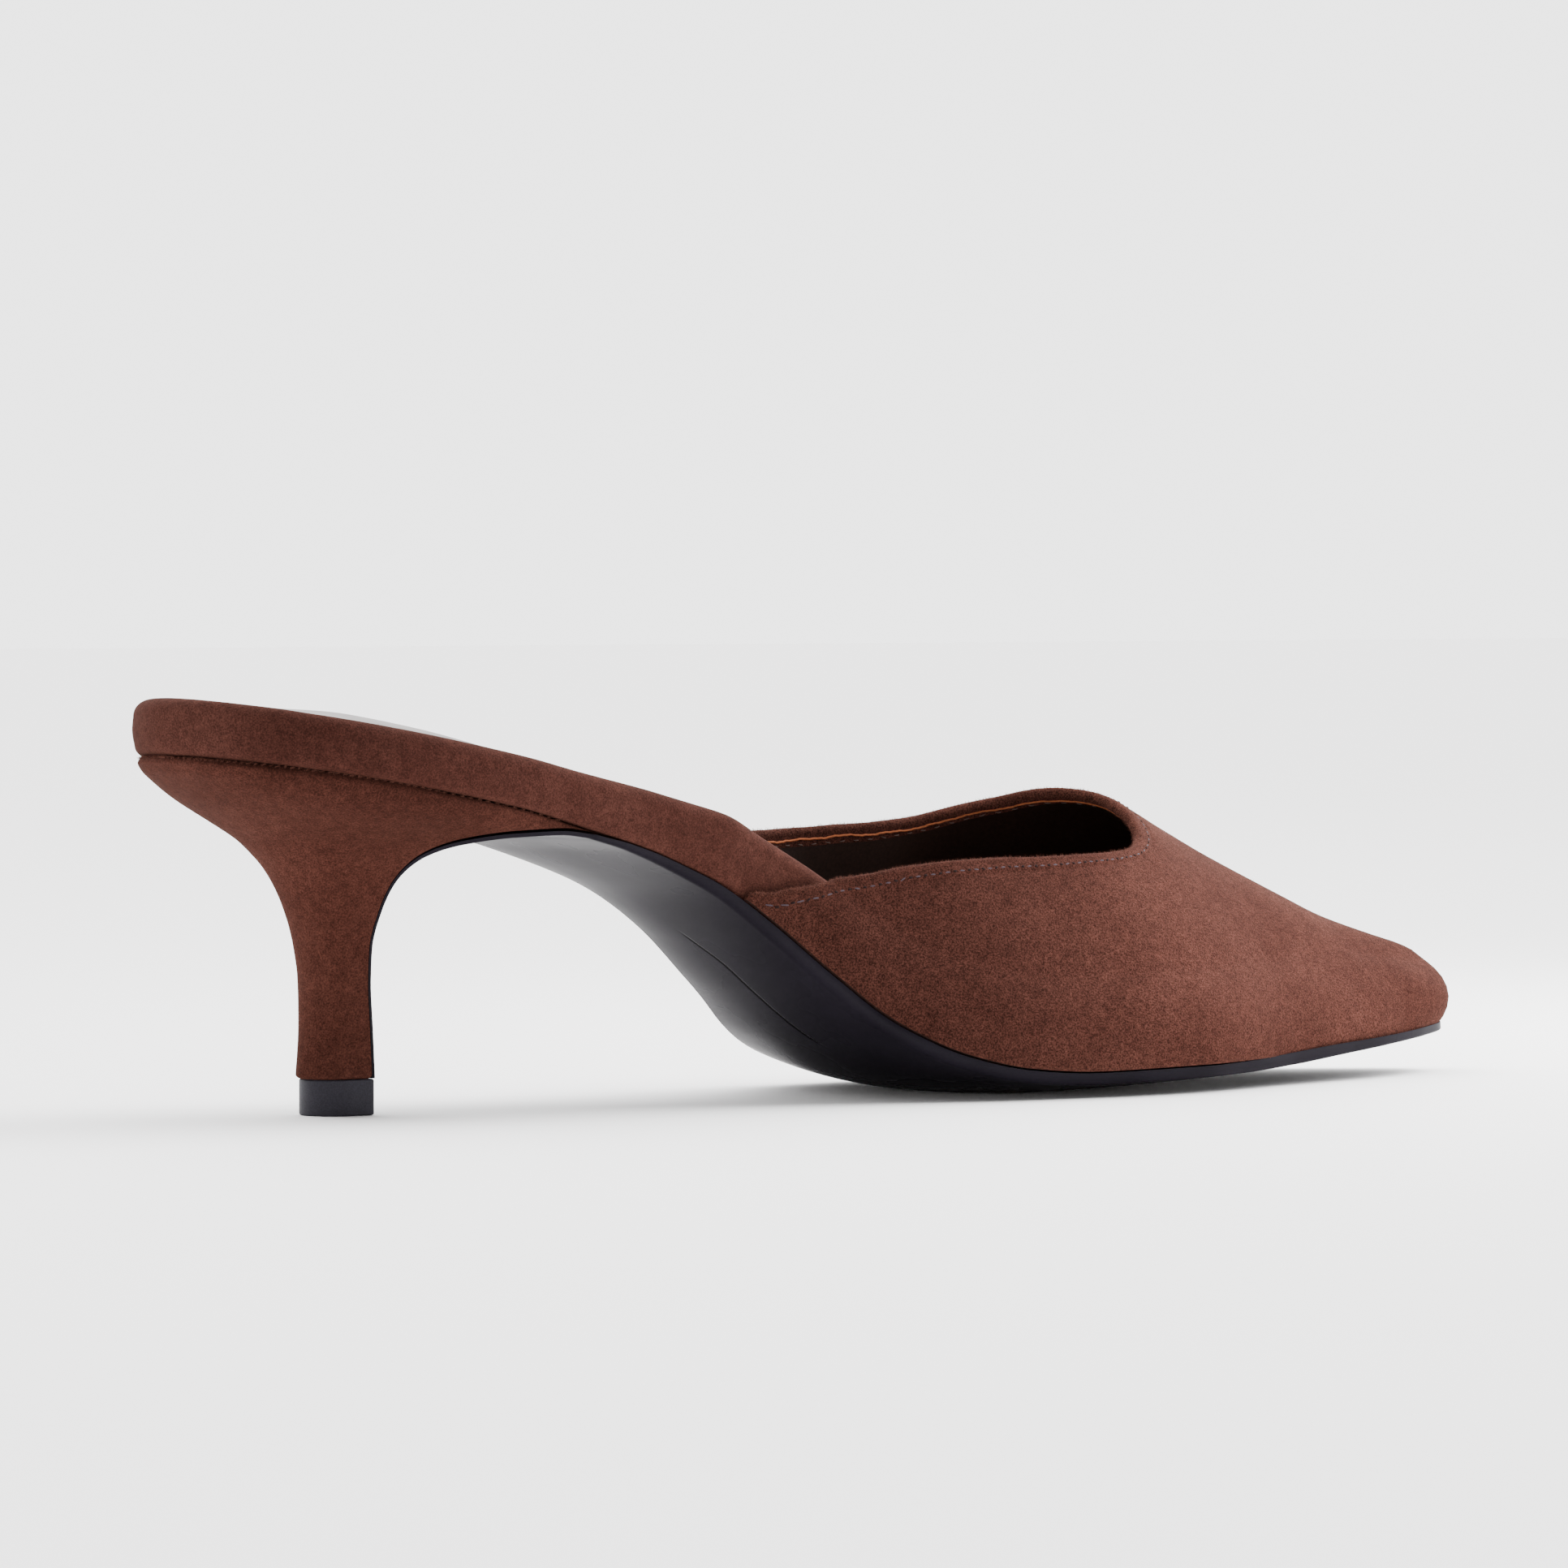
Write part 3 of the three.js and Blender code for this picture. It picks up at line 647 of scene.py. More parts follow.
def slab(rim, stations, across, raised, both):
    """Loops round a slab: its rim on both sides, joined by straight lines over and under.

    rim(share) gives the insets and heights of the rim as (station, point). The rule
    raised(points, share, t) then shapes the top, and with `both` the underside too.
    """
    share = rounded_share(stations)[:, None] * FOOTBED_END
    inset, height = rim(share)
    share_rim = np.broadcast_to(share, inset.shape)
    lateral = slab_points(share_rim, -1.0, inset, height)
    medial = slab_points(share_rim, 1.0, inset, height)
    t = span(-1, 1, across)[None, :]
    part = (t[..., None] + 1) / 2
    share_top = np.broadcast_to(share, (stations, across))
    top = raised(mix(lateral[:, -1:], medial[:, -1:], part), share_top, t)
    under = mix(medial[:, :1], lateral[:, :1], part)
    if both:
        under = raised(under, share_top, t)
    return np.concatenate([lateral[:, 1:-1], top, medial[:, -2:0:-1], under], 1)


def raised_bed(points, share, t):
    return crowned(points, share, LINING_CROWN)


def raised_sock(points, share, t):
    return domed(points, share, sock_crown(share), t)


def footbed_rim(share):
    """Round lower corner, slightly puffed wall, round shoulder and the step to the sock."""
    top = footbed_height(share)
    corner = mix(RIM_CORNER, WING_RIM_CORNER, smooth_step(*CORNER_SHARES, share))
    turn = span(0, math.pi / 2, 8)
    low = np.stack([corner * (1 - np.sin(turn)), corner * (1 - np.cos(turn))])
    wall = span(0, 1, 12)[1:-1]
    puff = RIM_PUFF * np.sin(math.pi * wall)
    shoulder = span(0, math.pi / 2, 14)
    step = span(0, 1, 8)[1:]
    full = np.ones_like(share)
    inset = np.concatenate(
        [
            low[0],
            -puff * full,
            FOOTBED_ROUNDING * (1 - np.cos(shoulder)) * full,
            (FOOTBED_ROUNDING + LINING_MARGIN * step) * full,
        ],
        1,
    )
    height = np.concatenate(
        [
            low[1],
            corner + (top - FOOTBED_ROUNDING - corner) * wall,
            top - FOOTBED_ROUNDING * (1 - np.sin(shoulder)),
            top - LINING_RECESS * smooth_step(0, 1, step),
        ],
        1,
    )
    return inset, height


def sock_rim(share):
    """Thin leather with a rounded upper edge."""
    sink = SOCK_SINK * (1 - smooth_step(0.02, 0.05, share))
    under = footbed_height(share) - LINING_RECESS + CLEARANCE - sink
    edge = FOOTBED_ROUNDING + LINING_MARGIN + CLEARANCE
    turn = span(0, math.pi / 2, 7)
    full = np.ones_like(share)
    radius = LINING_THICKNESS * 0.55
    inset = np.concatenate([edge * full, (edge + radius * (1 - np.cos(turn))) * full], 1)
    height = np.concatenate([under, under + LINING_THICKNESS - radius * (1 - np.sin(turn))], 1)
    return inset, height


# Heel


def heel_back(level):
    bottom, top = TIP_HEIGHT + CLEARANCE, seat_line(0.0) - CLEARANCE
    return (
        mix(STEM_BACK, along(0) + HEEL_LIP_INSET, heel_curve["backX"](level)),
        mix(bottom, top, heel_curve["backZ"](level)),
    )


def heel_front(level):
    bottom, top = TIP_HEIGHT + CLEARANCE, seat_line(HEEL_WING_SHARE) - CLEARANCE
    return (
        mix(STEM_FRONT, along(HEEL_WING_SHARE), heel_curve["frontX"](level)),
        mix(bottom, top, heel_curve["frontZ"](level)),
    )


def heel_half(level, part, x, side):
    """Heel's half-width from the back to the front: the block's turns into the seat's.

    The block is as wide as half-width * sqrt(t * (2 - t)). The seat's width is taken at the
    top outline's place behind, where it closes round, and at the loop's own place in front.
    """
    turned = np.minimum(part / HEEL_ROUND_SHARE, 1)
    block = mix(STEM_WIDTH / 2, SEAT_WIDTH / 2, heel_curve["half"](level))
    top_x = mix(heel_back(1.0)[0], heel_front(1.0)[0], part)
    seat_x = mix(top_x, x, smooth_step(0, SEAT_TURN_SHARE, part))
    closing = np.minimum(part / BACK_CLOSING_SHARE, 1)
    seat = (half_width(share_at(seat_x), side) - HEEL_LIP_INSET) * np.sqrt(closing * (2 - closing))
    blend = smooth_step(SEAT_BLEND_LEVEL, 1, level)
    return np.maximum(mix(block * np.sqrt(turned * (2 - turned)), seat, blend), 0)


def rounding(distance, radius):
    """How far a round edge of a radius draws back at a distance from the edge's plane."""
    part = np.clip(distance / radius, 0, 1)
    return radius * (1 - np.sqrt(1 - (1 - part) ** 2))


def heel_grid(levels, steps):
    """Loops round the heel, pulled in at the lip and at the foot to round those edges.

    Low loops lie in slanting planes, and the upper ones bow up to the seat. Their ends are
    pulled along X and their sides along Y, by radius - sqrt(radius^2 - (radius - distance)^2).
    """
    level = rounded_share(levels)[:, None]
    part = 1 - np.cos(span(0, math.pi / 2, steps))[None, :]
    back_x, back_z = heel_back(level)
    back_x = back_x - heel_fullness(level)
    front_x, front_z = heel_front(level)
    x = mix(back_x, front_x, part)
    top_x = mix(heel_back(1.0)[0], heel_front(1.0)[0], part)
    top_chord = mix(heel_back(1.0)[1], heel_front(1.0)[1], part)
    bow = seat_line(share_at(top_x)) - SEAM_GAP - top_chord
    z = mix(back_z, front_z, part) + bow * smooth_step(0.3, 1, level)
    below = seat_line(share_at(x)) - SEAM_GAP - z
    above = z - TIP_HEIGHT - CLEARANCE
    sharper = smooth_step(*CORNER_SHARES, share_at(x))
    lip = mix(HEEL_LIP_ROUNDING, WING_LIP_ROUNDING, sharper)
    pulled = rounding(below, lip) + rounding(above, HEEL_FOOT_ROUNDING)
    middle = mix(back_x, front_x, 0.5)
    end_reach = 4
    inward = np.clip((middle - x) / end_reach, -1, 1)
    x = x + pulled * inward
    sides = []
    for side in (-1.0, 1.0):
        half = heel_half(level, part, x, side)
        sides.append(np.stack([x, side * np.maximum(half - pulled, 0), z], -1))
    return np.concatenate([sides[0][:, ::-1], sides[1]], 1)


def tip_grid():
    """Rubber tip: a half circle behind and two small round corners in front.

    The outline is spread a little and shrinks by edge * (1 - cos t) at both round edges.
    """
    half, corner = TIP_WIDTH / 2, TIP_CORNER
    back_points, corner_points = 40, 8
    back = span(math.pi / 2, 1.5 * math.pi, back_points)
    low = span(-math.pi / 2, 0, corner_points)
    turn = np.concatenate([low, low + math.pi / 2])
    centre = half - TIP_LENGTH / 2
    front_x = TIP_LENGTH / 2 - corner + corner * np.cos(turn)
    front_y = np.repeat([corner - half, half - corner], corner_points) + corner * np.sin(turn)
    x = np.concatenate([centre + half * np.cos(back), front_x])
    y = np.concatenate([half * np.sin(back), front_y])
    edge = TIP_EDGE
    top = TIP_HEIGHT + CLEARANCE * 0.9
    bend = span(0, math.pi / 2, 6)
    z = np.concatenate([edge * (1 - np.sin(bend[::-1])), top - edge * (1 - np.sin(bend))])
    pull = np.concatenate([edge * (1 - np.cos(bend[::-1])), edge * (1 - np.cos(bend))])
    factor = 1 + (TIP_SPREAD - pull[:, None]) / half
    return np.stack([x * factor, y * factor, z[:, None] + 0 * x], -1)


# Outsole


def sole_stations(flap_count, sole_count):
    """Middle line and half-widths of the sole, from the tip up the heel and to the toe."""
    level = span(0, 1, flap_count)[:-1]
    flap_x, flap_z = heel_front(level)
    turn = span(turn_of(HEEL_WING_SHARE), math.pi, sole_count)
    share = share_of(turn)
    halves = []
    for side in (-1.0, 1.0):
        flap = heel_half(level, 1.0, flap_x, side) - SOLE_MARGIN / 2
        width = half_width(share, side)
        halves.append(np.concatenate([flap, width - np.minimum(SOLE_MARGIN, width / 4)]))
    x = np.concatenate([flap_x, along(share) - SOLE_MARGIN * smooth_step(0.9, 1, share)])
    z = np.concatenate([flap_z, seat_line(share) - CLEARANCE])
    return x, z, halves[0], halves[1], np.concatenate([0 * level, share])


def sole_grid(flap_count, sole_count, across):
    """Loops round the sole, and the groove's distance and depth at each of their points.

    The underside is crowned as thick + crown * (1 - part^2). The near edge is rounder than
    the far one. At the toe the upper edge rises and stands out past the vamp.
    """
    x, z, lateral, medial, share = sole_stations(flap_count, sole_count)
    toe = smooth_step(*TOE_EDGE_SHARES, share)
    rise = TOE_EDGE_RISE * toe
    reach_out = (SOLE_MARGIN + TOE_EDGE_REACH) * toe * np.clip(medial / 3, 0, 1)
    lateral, medial = lateral + reach_out, medial + reach_out
    x = x + TOE_EDGE_REACH * smooth_step(TOE_END_SHARE, 1, share)
    away = unit(np.stack([np.gradient(z), -np.gradient(x)], -1))
    body = sole_thickness_share(share)
    thick = mix(FLAP_THICKNESS, SOLE_THICKNESS, body)
    crown = SOLE_CROWN * sole_crown_share(share)
    lift = CLEARANCE * (1 - smooth_step(HEEL_WING_SHARE, HEEL_WING_SHARE + 0.03, share))
    width = np.minimum(lateral, medial)
    thin, most = 0.4, width * 0.4
    soft = np.minimum(SOLE_EDGE_SOFTNESS * mix(thin, 1, body), most)
    bevel = np.minimum(SOLE_EDGE_BEVEL * mix(thin, 1, body), most)
    upright = mix(SOLE_EDGE_UPRIGHT, SOFT_EDGE_UPRIGHT, body)
    crown = crown * np.clip(width / CROWN_FULL_WIDTH, 0, 1)

    turn = span(0, math.pi / 2, 7)
    part = span(1, -1, across)
    inner_edge = TOE_EDGE_WIDTH * np.minimum(toe, width / 2)
    columns = [(-lateral, -rise)]
    for p in span(-1, 1, 9):
        columns.append((np.where(p < 0, lateral - inner_edge, medial - inner_edge) * p, 0 * thick))
    columns.append((medial, -rise))
    for t in turn:
        reach = medial - bevel * (1 - math.cos(t))
        rise_part = SOLE_EDGE_UPRIGHT + (1 - SOLE_EDGE_UPRIGHT) * math.sin(t)
        columns.append((reach, thick * rise_part))
    for p in part[1:-1]:
        reach = np.where(p < 0, lateral - soft, medial - bevel)
        columns.append((p * reach, thick + crown * (1 - p * p)))
    for t in turn[::-1]:
        reach = lateral - soft * (1 - math.cos(t))
        columns.append((-reach, thick * (upright + (1 - upright) * math.sin(t))))
    y = np.stack([place for place, _ in columns], 1)
    depth = np.stack([low for _, low in columns], 1) + lift[:, None]
    grid = np.stack(
        [
            x[:, None] + away[:, :1] * depth,
            y,
            np.maximum(z[:, None] + away[:, 1:] * depth, 0),
        ],
        -1,
    )
    offset = y - groove_line(share)[:, None]
    ends = smooth_step(*GROOVE_START_SHARES, share) * smooth_step(*GROOVE_END_SHARES, share)
    return grid, {"groove_offset": offset, "groove_depth": ends[:, None]}


# Vamp


def vamp_outer(way, down):
    """Outer face: `way` goes round the vamp, `down` from the topline to the lower edge."""
    side = np.where(way <= 0.5, -1.0, 1.0)
    turn_round = vamp_turn(way)
    turn = np.where(side < 0, turn_round, 2 * math.pi - turn_round)
    foot_share = share_of(turn)
    top_share = vamp_share(way)
    part = np.sin(down * math.pi / 2)
    x = mix(along(top_share), along(foot_share), part)
    y = mix(sideways(top_share, vamp_across(way)), side * half_width(foot_share, side), part)
    share = share_at(x)
    height = np.where(down >= 1, 0, shell_height(share, across_of(share, y)))
    toe = smooth_step(0.93, 1, foot_share)
    level = np.clip(height / mix(SWELL_HEIGHT, TOE_SWELL_HEIGHT, toe), 0, 1)
    swell = mix(VAMP_SWELL, TOE_SWELL, toe) * 4 * level * (1 - level)
    out = outline_normal(turn, side) * swell[..., None]
    return np.stack([x + out[..., 0], y + out[..., 1], seat_line(share) + height], -1)


def vamp_normal(way, down):
    w, d, reach = np.clip(way, 0.012, 0.988), np.clip(down, 0.03, 0.97), 0.004
    turning = vamp_outer(w + reach, d) - vamp_outer(w - reach, d)
    falling = vamp_outer(w, d + reach) - vamp_outer(w, d - reach)
    return unit(np.cross(falling, turning))


TOPLINE_BAND = 6.0  # stretch below the topline in which the grid is fine
vamp_ways = span(0, 1, 420)
fine_downs = 1 - np.cos(span(0, math.pi / 2, 260))
column_points = vamp_outer(vamp_ways[:, None], fine_downs[None, :])
column_lengths = np.concatenate(
    [
        np.zeros((len(vamp_ways), 1)),
        np.cumsum(np.linalg.norm(np.diff(column_points, axis=1), axis=-1), 1),
    ],
    1,
)
column_totals = column_lengths[:, -1]


def down_at(distance):
    """The `down` at a distance in mm below the topline, for every way (way, point)."""
    return np.stack(
        [np.interp(d, lengths, fine_downs) for d, lengths in zip(distance, column_lengths)]
    )


def vamp_rows():
    """Distances below the topline: fine steps in the band, then wider ones to the edge."""
    band = np.minimum(TOPLINE_BAND, column_totals * 0.5)[:, None]
    fine = span(0, 1, 22)[None, :] * band
    rest = span(0, 1, 46)[None, 1:]
    wide = band + (column_totals[:, None] - band) * rest
    return np.concatenate([fine, wide], 1)


def vamp_grid():
    """Closed loops: up the outside, over a rolled edge and down the inside.

    The outside is pressed in by depth * exp(-((distance - drop) / width)^2) at the stitch
    line, and swells by a like rule above it. The edge is half an ellipse between both faces.
    """
    distance = vamp_rows()
    way = np.broadcast_to(vamp_ways[:, None], distance.shape)
    side = np.where(way <= 0.5, -1.0, 1.0)
    total = column_totals[:, None]
    rough = vamp_outer(way, down_at(distance))
    wall = wall_at(share_at(rough[..., 0]), side)
    radius = np.minimum(wall[:, :1] / 2, total * 0.1)
    moved = radius + distance * (1 - radius / np.maximum(total, 1e-6))
    down = down_at(np.minimum(moved, total))
    down[:, -1] = 1
    outer = vamp_outer(way, down)
    normal = vamp_normal(way, down)
    seam = np.exp(-(((distance - STITCH_DROP) / SEAM_WIDTH) ** 2)) * SEAM_DEPTH
    puff = np.exp(-(((distance - PUFF_DROP) / PUFF_WIDTH) ** 2)) * PUFF_HEIGHT
    fade = smooth_step(4, 14, total)
    outer_shown = outer + normal * ((puff - seam) * fade)[..., None]
    inner = outer - normal * wall[..., None]
    inner[:, -1, 2] = seat_line(share_at(inner[:, -1, 0]))

    upward = unit(outer[:, :1] - outer[:, 1:2])
    middle = (outer_shown[:, :1] + inner[:, :1]) / 2
    spread = (outer_shown[:, :1] - inner[:, :1]) / 2
    turn = span(0, math.pi, ROLL_POINTS + 2)[None, 1:-1, None]
    roll = middle + spread * np.cos(turn) + upward * radius[..., None] * np.sin(turn)
    return np.concatenate([outer_shown[:, ::-1], roll, inner], 1), distance.shape[1]


def places_along(points, pitch):
    """Length of a line of points up to each of them, and places every `pitch` mm along it."""
    lengths = np.concatenate([[0], np.cumsum(np.linalg.norm(np.diff(points, axis=0), axis=1))])
    count = int(lengths[-1] // pitch)
    return lengths, (np.arange(count) + 0.5) * pitch


def at_length(lengths, values, places):
    """Points or vectors of a line, read off at places along it."""
    return np.stack([np.interp(places, lengths, values[:, k]) for k in range(3)], -1)


def edge_line(distance, inside):
    """A line along the vamp at a distance below the topline, with its outward normals.

    Outside it lies on the suede and inside on the lining.
    """
    distances = np.minimum(distance, column_totals * 0.5)[:, None]
    way, down = vamp_ways[:, None], down_at(distances)
    outer = vamp_outer(way, down)
    normal = vamp_normal(way, down)
    side = np.where(way <= 0.5, -1.0, 1.0)
    if not inside:
        return outer[:, 0], normal[:, 0]
    wall = wall_at(share_at(outer[..., 0]), side)
    return (outer - normal * wall[..., None])[:, 0], -normal[:, 0]


def stitch_rows(
    line, normals, keep, seed, sink, length=STITCH_LENGTH, width=THREAD_WIDTH, shift=0
):
    """Stitches along a line: each is a bowed capsule with loops of six points.

    At t along it, its centre lies at normal * (width * (sqrt(sin(pi t)) - 0.6) - sink), and
    its radius is width / 2 * sqrt(sin(pi t))^0.7. `keep` holds the part of the line in use.
    """
    pitch = STITCH_LENGTH + STITCH_GAP
    lengths, centres = places_along(line, pitch)
    rng = np.random.default_rng(seed)
    centres = centres[(centres > keep[0] * lengths[-1]) & (centres < keep[1] * lengths[-1])]
    centres = centres + shift
    t = span(0, 1, 9)
    places = centres[:, None] + (t - 0.5)[None, :] * length
    points = at_length(lengths, line, places)
    out = unit(at_length(lengths, normals, places))
    ahead = unit(points[:, -1:] - points[:, :1])
    beside = unit(np.cross(out, ahead))
    sway = rng.normal(0, STITCH_SWAY, (len(centres), 1, 1)) * (t - 0.5)[None, :, None]
    bow = np.sqrt(np.clip(np.sin(math.pi * t), 0, 1))
    lift = width * (bow - 0.6) - sink
    centre = points + out * lift[None, :, None] + beside * sway
    radius = width / 2 * bow**0.7
    turn = span(0, 2 * math.pi, 7)[:-1]
    ring = (
        out[:, :, None] * np.cos(turn)[None, None, :, None]
        + beside[:, :, None] * np.sin(turn)[None, None, :, None]
    )
    return centre[:, :, None] + ring * radius[None, :, None, None]


def many_surfaces(name, grids):
    """One mesh of many small closed tubes, grids as (piece, row, column, xyz) in mm."""
    count, rows, columns = grids.shape[:3]
    index = np.arange(rows * columns).reshape(rows, columns)
    turned = np.roll(index, -1, axis=1)
    sides = np.stack([index[:-1], turned[:-1], turned[1:], index[1:]], -1).reshape(-1, 4)
    offsets = (np.arange(count) * rows * columns)[:, None, None]
    side_faces = (sides[None] + offsets).reshape(-1, 4).tolist()
    first_caps = (index[:1, ::-1][None] + offsets).reshape(-1, columns).tolist()
    last_caps = (index[-1:][None] + offsets).reshape(-1, columns).tolist()
    mesh = bpy.data.meshes.new(name)
    points = grids.reshape(-1, 3) * MM
    mesh.from_pydata(points.tolist(), [], side_faces + first_caps + last_caps)
    mesh.polygons.foreach_set("use_smooth", np.ones(len(mesh.polygons), bool))
    mesh.update()
    return put(name, mesh)


def fibre_tubes(roots, normals, seed, length):
    """Short bent fibres of nap: each leans off its normal and thins out, three points a loop.

    A fibre's point is root + direction * length * t + sag * length * t^2, a little sunk in
    the suede, and its radius thins out by (1 - 0.8 t).
    """
    rng = np.random.default_rng(seed)
    count = len(roots)
    direction = unit(normals + rng.normal(0, 0.55, (count, 3)))
    sag = rng.normal(0, 0.16, (count, 3))
    reach = length * rng.uniform(0.45, 1.0, (count, 1))
    side = unit(np.cross(direction, rng.normal(0, 1, (count, 3))))
    other = np.cross(direction, side)
    t = np.array([0, 0.5, 1])[None, :, None]
    centre = roots[:, None] + (direction * reach)[:, None] * t + (sag * reach)[:, None] * t * t
    centre = centre - normals[:, None] * NAP_SINK
    turn = span(0, 2 * math.pi, 4)[:-1][None, None, :, None]
    ring = side[:, None, None] * np.cos(turn) + other[:, None, None] * np.sin(turn)
    radius = NAP_RADIUS * (1 - 0.8 * t)
    return centre[:, :, None] + ring * radius[..., None]


def grid_normals(grid):
    """Unit normals of a wrapped grid of points, pointing out of the closed form."""
    ahead = np.gradient(grid, axis=0)
    round_about = np.roll(grid, -1, axis=1) - np.roll(grid, 1, axis=1)
    return unit(np.cross(ahead, round_about))


def scattered(grid, weights, count, seed):
    """Random points of a grid with their normals, chosen by weight, and the random source."""
    rng = np.random.default_rng(seed)
    flat = (weights / weights.sum()).ravel()
    chosen = rng.choice(flat.size, size=count, p=flat)
    return grid.reshape(-1, 3)[chosen], grid_normals(grid).reshape(-1, 3)[chosen], rng


def raw_edge_grid(count):
    """The lining's cut edge inside the topline: a thin round cord that waves and dies out."""
    line, normals = edge_line(FOLD_DROP, inside=True)
    below, _ = edge_line(FOLD_DROP + 0.6, inside=True)
    down = unit(below - line)
    lengths, places = places_along(line, column_totals.max() / count)
    centre = at_length(lengths, line, places)
    out = unit(at_length(lengths, normals, places))
    fall = unit(at_length(lengths, down, places))
    wave = 0.1 * np.sin(places * 0.23) + 0.09 * np.sin(places * 0.71 + 1)
    wave = wave + 0.05 * np.sin(places * 1.9) + 0.03 * np.sin(places * 4.3)
    ends = smooth_step(4, 12, places) * smooth_step(4, 12, lengths[-1] - places)
    turn = span(0, 2 * math.pi, 13)[:-1]
    across = RAW_EDGE_RADIUS * np.cos(turn)[None, :, None] * ends[:, None, None]
    up = RAW_EDGE_RADIUS * np.sin(turn)[None, :, None] * ends[:, None, None]
    centre = centre + fall * wave[:, None]
    return centre[:, None] + fall[:, None] * across + out[:, None] * up


# Materials


def linear(code):
    """An sRGB hex colour in linear light."""
    parts = np.array([int(code[i : i + 2], 16) for i in (1, 3, 5)]) / 255
    light = np.where(parts <= 0.04045, parts / 12.92, ((parts + 0.055) / 1.055) ** 2.4)
    return (*light.tolist(), 1.0)


def add(tree, kind, settings=None, inputs=None, output=0):
    """Adds a node and gives one of its outputs.

    Inputs are a list or a table by number or name, and each is set or linked.
    """
    made = tree.nodes.new("ShaderNode" + kind)
    for key, value in (settings or {}).items():
        setattr(made, key, value)
    if isinstance(inputs, list):
        inputs = dict(enumerate(inputs))
    for key, value in (inputs or {}).items():
        socket = made.inputs[key]
        if isinstance(value, bpy.types.NodeSocket):
            tree.links.new(value, socket)
        else:
            socket.default_value = value
    return made.outputs[output]


SMOOTH = {"clamp": True, "interpolation_type": "SMOOTHSTEP"}
MULTIPLY = {"operation": "MULTIPLY"}
SCALE = {"operation": "SCALE"}


def new_material(name):
    material = bpy.data.materials.new(name)
    material.use_nodes = True
    material.node_tree.nodes.clear()
    return material, material.node_tree


def shine(tree, relief, **inputs):
    """Ends a material with one Principled shader.

    Relief holds layers of (height socket, depth in real mm), the finest last.
    """
    named = {key.replace("_", " "): value for key, value in inputs.items()}
    for height, depth in relief:
        layer = {"Height": height, "Strength": 1.0, "Distance": depth * MM}
        if "Normal" in named:
            layer["Normal"] = named["Normal"]
        named["Normal"] = add(tree, "Bump", {}, layer)
    shader = add(tree, "BsdfPrincipled", {}, named)
    end = tree.nodes.new("ShaderNodeOutputMaterial")
    tree.links.new(shader, end.inputs["Surface"])


def grain(place, size, detail=2.0, roughness=0.5):
    """Inputs of a noise with features of about `size` mm."""
    return {"Vector": place, "Scale": 1 / (size * MM), "Detail": detail, "Roughness": roughness}


def suede(name, light, dark, fleck_depth, axis, turned):
    """Calf suede, ground to a short nap: dull, with brushed patches of two browns.

    The nap takes the light as a fine fleck of about 0.3 mm, and its fibres give a little
    soft light at grazing angles. `turned` holds two places along an axis, in metres, and the
    shades painted into the colour there: painted shade, darker where less light falls.
    """
    material, tree = new_material(name)
    place = add(tree, "TexCoord", output="Object")
    patch_noise = add(tree, "TexNoise", {}, grain(place, 45))
    streak_noise = add(tree, "TexNoise", {}, grain(place, 9, 3.0, 0.6))
    patches = add(tree, "MapRange", SMOOTH, [patch_noise, 0.35, 0.65, 0.0, 1.0])
    streaks = add(tree, "MapRange", SMOOTH, [streak_noise, 0.3, 0.7, 0.0, 1.0])
    most = add(tree, "Math", MULTIPLY, [patches, 0.65])
    tone = add(tree, "Math", {"operation": "MULTIPLY_ADD"}, [streaks, 0.35, most])
    colours = {0: tone, 6: linear(dark), 7: linear(light)}
    brown = add(tree, "Mix", {"data_type": "RGBA"}, colours, 2)

    fleck_noise = add(tree, "TexNoise", {}, grain(place, 0.27, 2.0, 0.7))
    fleck_range = [fleck_noise, 0.3, 0.7, 1 - fleck_depth, 1 + fleck_depth]
    fleck = add(tree, "MapRange", SMOOTH, fleck_range)
    fibre_noise = add(tree, "TexNoise", {}, grain(place, 1.6, 3.0, 0.65))
    fibres = add(tree, "MapRange", SMOOTH, [fibre_noise, 0.3, 0.7, 0.84, 1.16])
    shade = add(tree, "Math", MULTIPLY, [fleck, fibres])
    # Painted shade and light: the colour grows darker towards one end of an axis, where less light
    # falls
    along_axis = add(tree, "SeparateXYZ", {}, [place], axis)
    painted_shade = add(tree, "MapRange", SMOOTH, [along_axis, *turned])
    shade = add(tree, "Math", MULTIPLY, [shade, painted_shade])

    nap = add(tree, "TexNoise", {}, grain(place, 0.35, 3.0, 0.65))
    pile = add(tree, "TexNoise", {}, grain(place, 2.2, 3.0, 0.5))
    shine(
        tree,
        [(pile, 0.1), (nap, 0.16)],
        Base_Color=add(tree, "VectorMath", SCALE, {0: brown, "Scale": shade}),
        Roughness=0.95,
        Specular_IOR_Level=0.02,
        Sheen_Weight=0.05,
        Sheen_Roughness=0.5,
        Sheen_Tint=linear("#b97c66"),
    )
    return material


